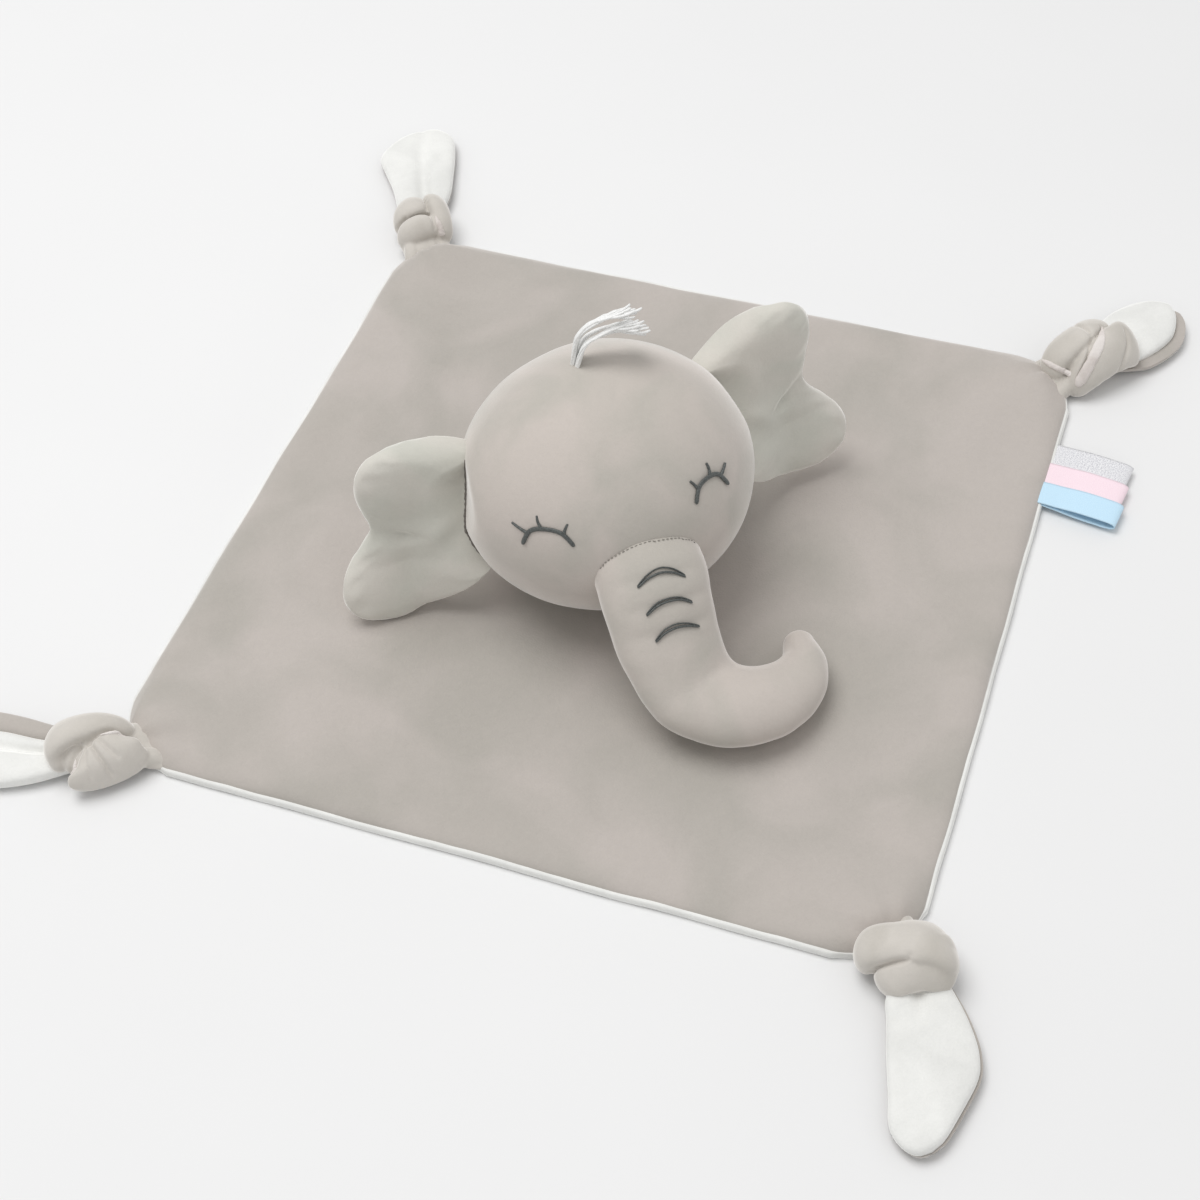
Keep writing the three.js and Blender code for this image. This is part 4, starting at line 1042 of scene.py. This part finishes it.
# each strand's way from the root, as shares of its length
strandShares = (
    ((0, 0, -0.06), (0.05, -0.01, 0.3), (0.16, -0.05, 0.5), (0.38, -0.1, 0.6), (0.62, -0.16, 0.66)),
    ((0.07, 0, -0.06), (0.15, -0.04, 0.24), (0.35, -0.1, 0.36), (0.58, -0.15, 0.38), (0.8, -0.2, 0.33)),
    ((0.02, -0.07, -0.06), (0.1, -0.12, 0.28), (0.28, -0.16, 0.42), (0.48, -0.2, 0.5), (0.68, -0.26, 0.5)),
    ((0.05, 0.07, -0.06), (0.12, 0.06, 0.28), (0.3, 0.02, 0.43), (0.52, 0, 0.5), (0.74, -0.04, 0.48)),
    ((0.1, 0.08, -0.06), (0.18, 0.08, 0.2), (0.36, 0.06, 0.29), (0.56, 0.03, 0.3), (0.78, 0, 0.24)),
)


def forelockRoot():
    x, y = yarn["rootX"] / halfWidth, yarn["rootY"] / halfDepth
    return headPoint(Vector((x, y, math.sqrt(1 - x * x - y * y))))


def makeForelock():
    root = forelockRoot()
    lift = head["gap"] + yarn["thick"] / 2
    for i, shares in enumerate(strandShares):
        way = [root + Vector(share) * yarn["length"] + upward * lift for share in shares]
        shape = bmesh.new()
        ply = yarn["thick"] * yarn["plyShare"]
        ends = lambda v: max(roundShare((1 - v) / 0.05), 0.03) * max(roundShare(v / 0.02), 0.03)
        for k in range(yarn["plies"]):
            # the plies wind round each other and open out where the strand is cut
            wound = []
            for step in range(yarn["steps"] + 1):
                t = step / yarn["steps"]
                around = t * yarn["twist"] + k * fullTurn / yarn["plies"]
                opened = yarn["opening"] * smooth((t - yarn["openFrom"]) / (1 - yarn["openFrom"]))
                spread = ply * (yarn["spread"] + opened) * (1 + yarn["loose"] * math.sin(t * 9 + k * 2.4 + i))
                flat = yarn["flat"]
                offset = Vector((math.cos(around) * flat, math.sin(around), flat * math.cos(around + 1))) * spread
                wound.append(wayAt(way, t) + offset)
            size = lambda v: (ply * yarn["plyWide"] * ends(v),) * 2
            addRoll(shape, wound, size, lambda point, t: Vector((0.1, 1, 0.3)), 90, 6)
        strand = makePiece(f"yarn_strand_{i + 1}", shape, whiteYarn, "forelock", headPlace)
        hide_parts(f"forelock_strand_{i + 1}")


neck = {
    "radiusX": 17.6, "radiusY": 17.2, "stitches": 30, "thick": 0.45, "long": 0.8, "rise": (0.4, 0.75, 0.5),
    "clothIn": 0.9, "clothWaist": 0.12, "clothFold": 0.012, "clothFrom": -0.2, "clothHigh": 7,
}


# the ring where the head is sewn on lies under the lowest point of the rolled head
def neckShift():
    sin, cos = math.sin(head["roll"]), math.cos(head["roll"])
    return (halfWidth ** 2 - halfHeight ** 2) * sin * cos / math.hypot(halfWidth * sin, halfHeight * cos)


def makeNeck():
    shift = neckShift()

    def ringPoint(angle, z, drawn=1):
        x, y = neck["radiusX"] * drawn * math.cos(angle), neck["radiusY"] * drawn * math.sin(angle)
        return headPlace @ Vector((x - shift, y, headRestZ + z))

    # the cloth drawn in under the head
    def place(u, v):
        angle = u * fullTurn
        folds = neck["clothFold"] * math.sin(angle * neck["stitches"])
        drawn = neck["clothIn"] - neck["clothWaist"] * math.sin(v * math.pi) + folds
        return ringPoint(angle, lerp(neck["clothFrom"], neck["clothHigh"], v), drawn)

    gathered = makeSheetPiece("neck_gathered_cloth", 120, 24, place, headVelour, weld=0.01, closed=True)
    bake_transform(gathered)

    shape = bmesh.new()
    size = lambda v: (neck["thick"] * roundedEnds(v, 0.2, 0.03),) * 2
    for i in range(neck["stitches"]):
        angles = [fullTurn * (i + share * neck["long"]) / neck["stitches"] for share in (0, 0.5, 1)]
        way = [ringPoint(angle, z) for angle, z in zip(angles, neck["rise"])]
        addRoll(shape, way, size, lambda point, t: upward, 10, 6)
    ring = makePiece("neck_ladder_stitches", shape, paleThread, "neck")
    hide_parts("neck_stitching")


makeForelock()
makeNeck()
print("yarn and stitches in")


# The tied corners. A corner's frame has +X out along it from the hinge of its neck, +Z up from the floor.

knot = {"hinge": 2.8, "grain": 0.5, "endX": 24.5, "smoothing": 2, "over": 0.2, "least": 0.1, "bend": (1, 6)}
crease = {"wide": 0.9, "reach": 2.4, "steps": 60}
seamEdgeStrip = {"steps": 16, "sunk": 0.05, "thick": 0.7, "ragged": 0.25, "raggedLong": 14, "body": 0.8}
neckPleat = {"from": 2.4, "low": 3.2, "high": 4.4, "step": 0.9, "wide": (3.6, 2.9), "thick": (0.9, 3.2)}
tail = {"width": 28.5, "rootRadius": 3.4, "gap": 0.3, "rootHeight": 5.2, "thickness": 8, "bend": (3, 6)}
tailFold = {
    "bend": 0.6, "edge": 0.35, "square": 0.8, "flat": 0.6, "rootShare": 0.75, "widens": 0.15, "fills": 0.5,
    "tipRound": 0.06, "rootRound": 0.04, "valleyWide": 0.2, "lumpHigh": 0.4, "lumpLong": 8, "lap": 0.1,
}

# Each turn of the tied cloth is a lobe: its way, its half width along that and its half thickness. A heart
# fills the middle, and pleats lead in from the neck. Creases are pressed in and seam edges laid on afterwards.
# A tail lies between its low and high edge over its middle line, all three drawn on the floor.
corners = (
    {
        "name": "front", "heading": -1, "whiteUp": True, "knotTurn": -8, "endTurn": -8,
        "low": ((13, -10.5), (22, -14.5), (33, -21), (44, -27), (54, -33), (62, -36)),
        "mid": ((13, -1), (23, -4.5), (34, -9.5), (45, -14.5), (56, -20), (65.5, -25)),
        "high": ((13, 9), (24, 8.2), (35, 7), (45, 4.2), (53.5, -1.5), (60.5, -11)), "tip": 0.3, "cutLong": 52,
        "grey": (-1, 1), "white": (-1, 1), "greyShift": (0.5, 0.7), "valley": (0.1, 0.4, 0.75),
        "heart": ((11, 1, 8.5), (10, 11.5, 7.5)),
        "lobes": (
            {"way": ((3, -6, 3), (1.8, -8.5, 8), (2.5, -7.8, 12.5), (5.5, -3, 15.3), (9, 4, 15.5), (11.5, 9, 12.3),
                     (12.5, 10.5, 8), (12, 8, 3)),
             "wide": (5, 7, 7.3, 7.8, 9.5, 10.5, 9.5, 6), "thick": 4.8},
            {"way": ((13.5, -5.5, 3), (13.6, -7.6, 7.5), (13.8, -6.8, 11), (15, -1, 13.2), (16.5, 5, 12.8),
                     (16.5, 9, 10.4), (15.5, 9.5, 7), (14, 7, 3)),
             "wide": (4.5, 6.2, 6.8, 7.4, 8.6, 9, 8, 5), "thick": 4.3},
        ),
        "neck": ((-8.5, -5), (-3, -2), (3, 2), (8.5, 6)),
        "creases": (((8, -11, 8.5), (10, -9.5, 13), (11.8, -6, 16.5), (13, -1, 18.5)),),
        "deep": (2,),
        "seams": (),
    },
    {
        "name": "right", "heading": 0, "whiteUp": True, "knotTurn": -7, "endTurn": 18,
        "low": ((18, -8), (28, -9), (37, -8.5), (46, -6.5), (54, -3), (61, 2)),
        "mid": ((18, 1), (28, 2), (38, 3.5), (47, 5), (55, 7), (61.5, 8.5)),
        "high": ((18, 10), (28, 14), (38, 18), (48, 19), (57, 17), (64, 14)), "tip": 0.3, "cutLong": 44,
        "grey": (-1, 1), "white": (-1, 1), "greyShift": (1.6, -4.2), "valley": (0, 0.5, 0.1),
        "heart": ((14, -1, 7.5), (14, 10.5, 7)),
        "lobes": (
            {"way": ((-1, 0, 3), (-1, 1, 9), (3, 2.5, 13), (9, 3.8, 15.3), (15, 5.5, 15.3), (21, 7.5, 13),
                     (23.5, 8, 8), (22, 7, 3)),
             "wide": (5, 6.5, 8, 8.5, 8, 6.8, 6, 4), "thick": 4.3},
            {"way": ((27, 0, 3), (29.5, -2, 8), (28, -4.5, 12.3), (22, -6.5, 14.4), (14, -8.2, 13.4), (8, -9, 10.4),
                     (4, -9, 6), (4, -7, 3)),
             "wide": (6, 8.5, 9.5, 9, 8, 7, 5.5, 4), "thick": 4.5},
        ),
        "neck": ((-9.5, -7), (-4, -3.5), (2, 0.5), (7, 4)),
        "creases": (
            ((14.5, 11, 14), (14, 8.2, 16), (13, 0.8, 18.5), (11.7, -4, 19)),
            ((27, -3, 18), (25.5, -7.5, 16.5), (22.2, -11.5, 14), (18.5, -13, 9)),
            ((12.5, -3.5, 19), (7, -8.5, 16), (2, -11, 11)),
            ((20, 1.5, 20), (18, -1, 20), (13.5, -4.5, 19)),
        ),
        "deep": (1.3, 1.2, 1.5, 1.2),
        "seams": (
            {"way": ((20.5, 2, 19.5), (17, -3.2, 20), (12, -7.2, 18.5), (6.5, -10.3, 14.5), (1.5, -11.8, 8)),
             "wide": 2},
            {"way": ((-5, 6, 11), (-3.6, 1, 12), (-1.4, -3.5, 12), (1, -8, 10.5)), "wide": 1.1},
        ),
    },
    {
        "name": "back", "heading": 1, "whiteUp": True, "knotTurn": -16, "endTurn": -6,
        "low": ((14, -14), (26, -23.5), (38, -30), (50, -36), (61, -40), (70, -40)),
        "mid": ((14, -6), (27, -12), (39, -16.5), (51, -21), (62, -25.5), (72, -30)),
        "high": ((14, 4), (29, 0), (41, -3), (52, -4.5), (64, -6.5), (75, -14)), "tip": 0.24, "cutLong": 62,
        "grey": (-1, 1), "white": (-1, 1), "greyShift": (0, 0), "valley": (0, 1.5, 0.8),
        "heart": ((12, -3, 7.5), (10, 9.5, 6.5)),
        "lobes": (
            {"way": ((14, 1, 3), (15, 2.8, 8), (15.5, 1.5, 12.3), (15, -2, 14.6), (14.5, -5.5, 13.5), (14.5, -8, 10),
                     (14, -8, 6)),
             "wide": (4.5, 6.3, 6.8, 7, 6.5, 5.5, 4), "thick": 4},
            {"way": ((19, -9, 4), (19, -11.5, 8), (15, -12.5, 12), (10, -12, 13.6), (5, -11, 12.4), (1.5, -10, 9),
                     (1, -9, 4)),
             "wide": (4, 5, 5.5, 5.5, 5, 4.5, 3), "thick": 3.8},
            {"way": ((5, 3, 3), (4, 4.8, 8), (3.5, 3, 11.6), (3, -1, 13.2), (2.5, -4.5, 12), (3, -6, 9)),
             "wide": (4, 5, 5.5, 5.5, 5, 4), "thick": 3.6},
        ),
        "neck": ((-8, -7), (-2.5, -3.5), (3, 1), (8, 4)),
        "creases": (
            ((9.8, 9.4, 8), (9.4, 6.5, 12), (8, 2, 16), (6, -2.5, 17.5), (4.6, -6, 17)),
            ((22, -10.3, 10), (17, -8.8, 14), (12, -7.4, 16.5), (5, -6.4, 17), (-1, -5.8, 13)),
        ),
        "deep": (1.6, 1.6),
        "seams": ({"way": ((3.5, -8, 16.5), (0, -8, 14), (-3.5, -7.8, 10)), "wide": 1.2},),
    },
    {
        "name": "left", "heading": 2, "whiteUp": False, "knotTurn": -4, "endTurn": -22,
        "low": ((16, -8), (24, -17.5), (35, -28.5), (46, -36), (56, -41), (66, -42)),
        "mid": ((16, -2), (28, -6), (39, -14), (50, -21.5), (60, -28.5), (70, -34)),
        "high": ((16, 4), (24, 3.5), (38, 1), (52, -4.5), (63, -12), (71, -24)), "tip": 0.34, "cutLong": 58,
        "grey": (-1, -0.44), "white": (-0.5, 1), "greyShift": (0, 0), "valley": (-0.3, 1.5, 0.75),
        "heart": ((13, 2, 8), (12, 10, 7.5)),
        "lobes": (
            {"way": ((1, 0, 5), (4, -1, 11), (9, -2, 14.6), (15, -3, 15.6), (21, -4, 14.2), (24, -4, 11),
                     (24.5, -2, 7), (23, 1, 3)),
             "wide": (4, 5.5, 6.5, 7.3, 7.8, 7.8, 7, 5), "thick": 4.3},
            {"way": ((12.5, 4, 12.5), (12, 7, 13.6), (11.4, 10, 11.8), (11.3, 11.5, 7.5), (11.3, 11, 3)),
             "wide": (3, 8.5, 13, 14.3, 12.5), "thick": 4.2, "from": (11, -8, 2)},
        ),
        "neck": ((-3, 0), (2.5, 3.5), (7.5, 7), (12, 9.5)),
        "creases": (
            ((14.2, 5.4, 18), (13.4, 9, 16.8), (12, 12.2, 12.5), (10.8, 14, 7)),
            ((11.4, 5, 18), (9.4, 9, 16.5), (7, 12, 13)),
            ((14.4, 5.2, 18), (17.6, 4.6, 16.5), (19.7, 5, 13.5), (21, 6, 8)),
            ((15, 5.6, 17), (13, 4.6, 17.5), (9.5, 4.2, 17.5), (5, 4.8, 16), (2, 5.8, 13)),
            ((15.4, 6.6, 16.5), (17, 10, 13.5), (17.6, 13, 8)),
            ((15.2, 5.2, 16.5), (14, 4.9, 17), (12.8, 4.6, 17)),
        ),
        "deep": (1.7, 1.2, 1.5, 1.9, 0.8, 2.6),
        "seams": (
            {"way": ((20, 6.4, 13), (21.5, 8.4, 10.5), (22.4, 9.8, 6)), "wide": 0.9},
            {"way": ((10, 5, 17.5), (5.5, 5.8, 16), (1, 7.4, 12.5)), "wide": 0.7},
        ),
    },
)


def turnAboutZ(degrees):
    return Matrix.Rotation(math.radians(degrees), 4, "Z")


def cornerFrame(corner):
    return turnAboutZ(90 * corner["heading"]) @ Matrix.Translation((neckFaceAt + knot["hinge"], 0, 0))


def tailFrame(corner):
    turn = turnAboutZ(corner["endTurn"])
    at = turn @ Vector((tail["gap"] + tail["rootRadius"], 0, 0)) + Vector((knot["endX"], 0, tail["rootHeight"]))
    return cornerFrame(corner) @ turnAboutZ(corner["knotTurn"]) @ Matrix.Translation(at) @ turn


def alongList(values, share):
    place = clamp(share) * (len(values) - 1)
    i = min(int(place), len(values) - 2)
    return lerp(values[i], values[i + 1], smooth(place - i))


def addLobe(shape, lobe, middle):
    size = lambda v: (alongList(lobe["wide"], v) * roundedEnds(v, 0.1), lobe["thick"] * roundedEnds(v, 0.1))
    heart = Vector(lobe.get("from", middle))
    addRoll(shape, vectors(lobe["way"]), size, lambda point, t: point - heart, 60, 60, None, 0.02)


# the cloth drawn together between the blanket and the knot
def addNeckPleats(shape, corner):
    ends = lambda v: max(roundShare(v / 0.15), 0.02)
    out = lambda point, t: upward
    middle = (corner["neck"][1][0] + corner["neck"][2][0]) / 2
    for i, (outerY, innerY) in enumerate(corner["neck"]):
        high = neckPleat["high"] + neckPleat["step"] * (i % 2)
        way = vectors((
            (-12.5, lerp(outerY, middle, -0.15), neckPleat["from"]), (-7, outerY, neckPleat["low"]),
            (-2, lerp(outerY, innerY, 0.5), high), (4, innerY, 8),
        ))
        size = lambda v: (
            lerp(*neckPleat["wide"], v) * ends(v), lerp(*neckPleat["thick"], smooth(v * 1.6)) * ends(v),
        )
        addRoll(shape, way, size, out, 30, 24, None, 0.02)
    # under them the flat end of the blanket runs on into the knot
    way = vectors(((-13, middle, 2.3), (-7, middle, 2.6), (-1, middle * 0.7, 3.9), (8, 0, 7)))
    size = lambda v: (lerp(13.5, 8.5, smooth(v * 1.3)), lerp(1.3, 5, smooth(v * 1.3)))
    addRoll(shape, way, size, out, 30, 40, None, 0.02)


# presses a crease into a melted piece along a way laid on its surface, towards its heart
def pressCrease(piece, surface, way, deep, heart):
    wide = crease["wide"]
    tree = KDTree(len(piece.data.vertices))
    for vert in piece.data.vertices:
        tree.insert(vert.co, vert.index)
    tree.balance()
    pushes = {}
    for step in range(crease["steps"] + 1):
        share = step / crease["steps"]
        fade = math.sin(clamp(share * 0.9 + 0.08) * math.pi) ** 0.5
        near = surface.find_nearest(wayAt(way, share) * mm)[0]
        for _, index, away in tree.find_range(near, wide * crease["reach"] * mm):
            push = deep * fade * math.exp(-((away / mm / wide) ** 2))
            pushes[index] = max(pushes.get(index, 0), push)
    for index, push in pushes.items():
        vert = piece.data.vertices[index]
        vert.co += (heart * mm - vert.co).normalized() * (push * mm)


def bendAtNeck(piece, corner):
    out = turned(Vector((1, 0, 0)), corner["heading"] * quarterTurn)
    start, end = out * (neckFaceAt - knot["bend"][0]), out * (neckFaceAt + knot["bend"][1])
    start.z = end.z = knot["hinge"]
    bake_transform(piece)


def makeKnot(corner):
    place = cornerFrame(corner)
    middle, halves = corner["heart"]
    shape = bmesh.new()
    addBall(shape, 32, 20, lambda at: Vector([value * half for value, half in zip(at, halves)]) + Vector(middle))
    for lobe in corner["lobes"]:
        addLobe(shape, lobe, middle)
    addNeckPleats(shape, corner)
    for vert in shape.verts:
        vert.co.z = max(vert.co.z, knot["over"])
    piece = makePiece(corner["name"] + "_tied_knot", shape, knotVelour, at=place)
    meltTogether(piece, knot["grain"], knot["smoothing"])
    for vert in piece.data.vertices:
        vert.co.z = max(vert.co.z, knot["least"] * mm)
    bendAtNeck(piece, corner)
    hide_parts(corner["name"] + "_knot")

    surface = surfaceOf(piece)
    for way, deep in zip(corner["creases"], corner["deep"]):
        pressCrease(piece, surface, [place @ point for point in vectors(way)], deep, place @ Vector(middle))
    for i, seam in enumerate(corner["seams"]):
        addSeamEdge(corner, seam, i, surface)


# a turned-out seam edge, laid on the knot's surface
def addSeamEdge(corner, seam, i, surface):
    way, outs = [], []
    rough = vectors(seam["way"])
    for step in range(seamEdgeStrip["steps"] + 1):
        point = cornerFrame(corner) @ wayAt(rough, step / seamEdgeStrip["steps"])
        near, normal = surface.find_nearest(point * mm)[:2]
        way.append(near / mm - normal * seamEdgeStrip["sunk"])
        outs.append(normal)

    def ends(v):
        start = smooth(v / 0.5) * seamEdgeStrip["body"] + (1 - seamEdgeStrip["body"]) * roundShare(v / 0.1)
        return max(start, 0.03) * max(roundShare((1 - v) / 0.15), 0.03)

    def ragged(v, angle):
        place = Vector((v * seamEdgeStrip["raggedLong"], math.cos(angle), i))
        return 1 + seamEdgeStrip["ragged"] * noise.noise(place)

    shape = bmesh.new()
    size = lambda v: (seam["wide"] * ends(v) * ragged(v, 0), seamEdgeStrip["thick"] * ends(v))
    addRoll(shape, way, size, lambda point, t: wayAt(outs, t), 60, 14, ragged)
    strip = makePiece(f"{corner['name']}_knot_seam_{i + 1}", shape, seamEdge)
    bendAtNeck(strip, corner)


def bendAtTail(piece, corner):
    at = tailFrame(corner)
    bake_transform(piece)


# One layer of a tail lies between its low and its high edge, over a middle line. Where the two layers lie
# on each other one is the upper half and one the lower, and where they lie side by side each is whole.
def tailLayer(corner, white):
    ways = [vectors([(*row, 0) for row in corner[key]]) for key in ("low", "mid", "high")]
    start, end = corner["white" if white else "grey"]
    whole = end - start < 2
    sign = 1 if white == corner["whiteUp"] else -1
    notchAt, notchLong, notchDeep = corner["valley"]
    shift = Vector((0, 0, 0)) if white else Vector((*corner["greyShift"], 0))

    def place(u, w):
        low, mid, high = [wayAt(way, w) for way in ways]
        closed = roundShare((1 - w) / corner["tip"])
        across, up = math.cos(u * fullTurn), math.sin(u * fullTurn)
        across = math.copysign(abs(across) ** tailFold["square"], across)
        at = lerp(start, end, (across + 1) / 2) * closed
        rooted = lerp(tailFold["rootShare"], 1, smooth(w / tailFold["widens"]))
        point = mid + ((high - low) * at + (high + low - mid * 2) * at * at) / 2 * rooted
        thick = lerp(tail["rootRadius"], tail["thickness"] / 2, smooth(w / tailFold["fills"]))
        thick *= lerp(tailFold["edge"], 1, closed)
        thick *= roundShare((1 - w) / tailFold["tipRound"]) * roundShare(w / tailFold["rootRound"])
        seamZ = lerp(tail["rootHeight"], tail["thickness"] / 2, smooth(w / tailFold["bend"]))
        if whole or up * sign > 0:
            side = math.copysign(1, up)
            valley = white * notchDeep * bump(across, notchAt, tailFold["valleyWide"]) * (1 - smooth(w / notchLong))
            z = seamZ + side * thick * abs(up) ** tailFold["flat"] * (1 - (valley if side > 0 else 0))
            lump = tailFold["lumpHigh"] * lumps(point, tailFold["lumpLong"], 3 + corner["heading"])
            z += side * lump * abs(up) * smooth(w * 5)
        else:
            z = seamZ + sign * tailFold["lap"] * abs(up)
        point += shift * smooth(w * 3)
        point.z = max(z, knot["least"])
        return point

    name = corner["name"] + ("_tail_white" if white else "_tail_grey")
    material = liningPlush if white else blanketVelour
    piece = makeSheetPiece(name, 90, 70, place, material, closed=True, at=cornerFrame(corner))
    bendAtTail(piece, corner)
    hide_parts(corner["name"] + ("_tail_lining" if white else "_tail_face"))


for corner in corners:
    makeKnot(corner)
    tailLayer(corner, True)
    tailLayer(corner, False)
print("corners tied")


# The ribbons

ribbon = {
    "width": 10, "pitch": 10.6, "length": 27, "foldHigh": 3.6, "rootThick": 1.6, "along": 81,
    "lean": math.radians(-8), "thick": 0.32, "overlap": 0.42, "clear": 0.3, "lap": 0.9, "cutShare": 2.3,
    "weave": 5.6, "waves": 9, "waveHigh": 0.25, "waveAside": 0.12, "waveTilt": 1.2, "bend": (1.5, 4),
}
ribbonSlots = {"ribbon_blue": "blue_ribbon", "ribbon_pink": "pink_ribbon", "ribbon_silver": "silver_ribbon"}
# a loop's way out from the seam and back, as shares of its length and of its fold's half height
loopShares = vectors((
    (-0.15, 0.1, 0), (0, 0.34, 0), (0.18, 0.5, 0), (0.42, 0.86, 0), (0.7, 0.94, 0), (0.93, 0.8, 0), (1, 0.05, 0),
    (0.93, -0.78, 0), (0.7, -0.94, 0), (0.42, -0.84, 0), (0.18, -0.46, 0), (0, -0.34, 0), (-0.15, -0.1, 0),
), (ribbon["length"], ribbon["foldHigh"] / 2, 1))


def makeRibbons():
    for step, (name, slot) in enumerate(ribbonSlots.items(), -1):
        shape = bmesh.new()
        made = bmesh.ops.create_grid(shape, x_segments=12, y_segments=140, size=0.5, calc_uvs=True)
        layer = shape.loops.layers.uv.new("UVMap")
        for face in shape.faces:
            for loop in face.loops:
                loop[layer].uv = (loop.vert.co.x + 0.5, (loop.vert.co.y + 0.5) * ribbon["weave"])
        for vert in made["verts"]:
            across, t = vert.co.x, vert.co.y + 0.5
            at = wayAt(loopShares, t)
            wave = ribbon["waveHigh"] * math.sin(t * ribbon["waves"] + step) * smooth(at.x / 6)
            aside = across * (ribbon["width"] + ribbon["lap"]) + ribbon["waveAside"] * wave
            vert.co = Vector((at.x, aside, at.y + wave * across * ribbon["waveTilt"]))
        place = turnAboutZ(-45) @ Matrix.Translation((
            blanket["side"] / 2 + blanket["seamRoll"] + ribbon["clear"] + ribbon["rootThick"] / 2,
            ribbon["along"] + step * ribbon["pitch"],
            blanket["liningThick"] / 2 + ribbon["foldHigh"] / 2 - step * ribbon["overlap"],
        )) @ Matrix.Rotation(ribbon["lean"], 4, "Z")
        loop = makePiece(name + "_loop", shape, ribbonFinishes[name], at=place)
        thickness = loop.modifiers.new("Thickness", "SOLIDIFY")
        thickness.thickness = ribbon["thick"] * mm
        thickness.offset = 0
        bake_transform(loop)
        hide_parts(name)


makeRibbons()
print("ribbons in")
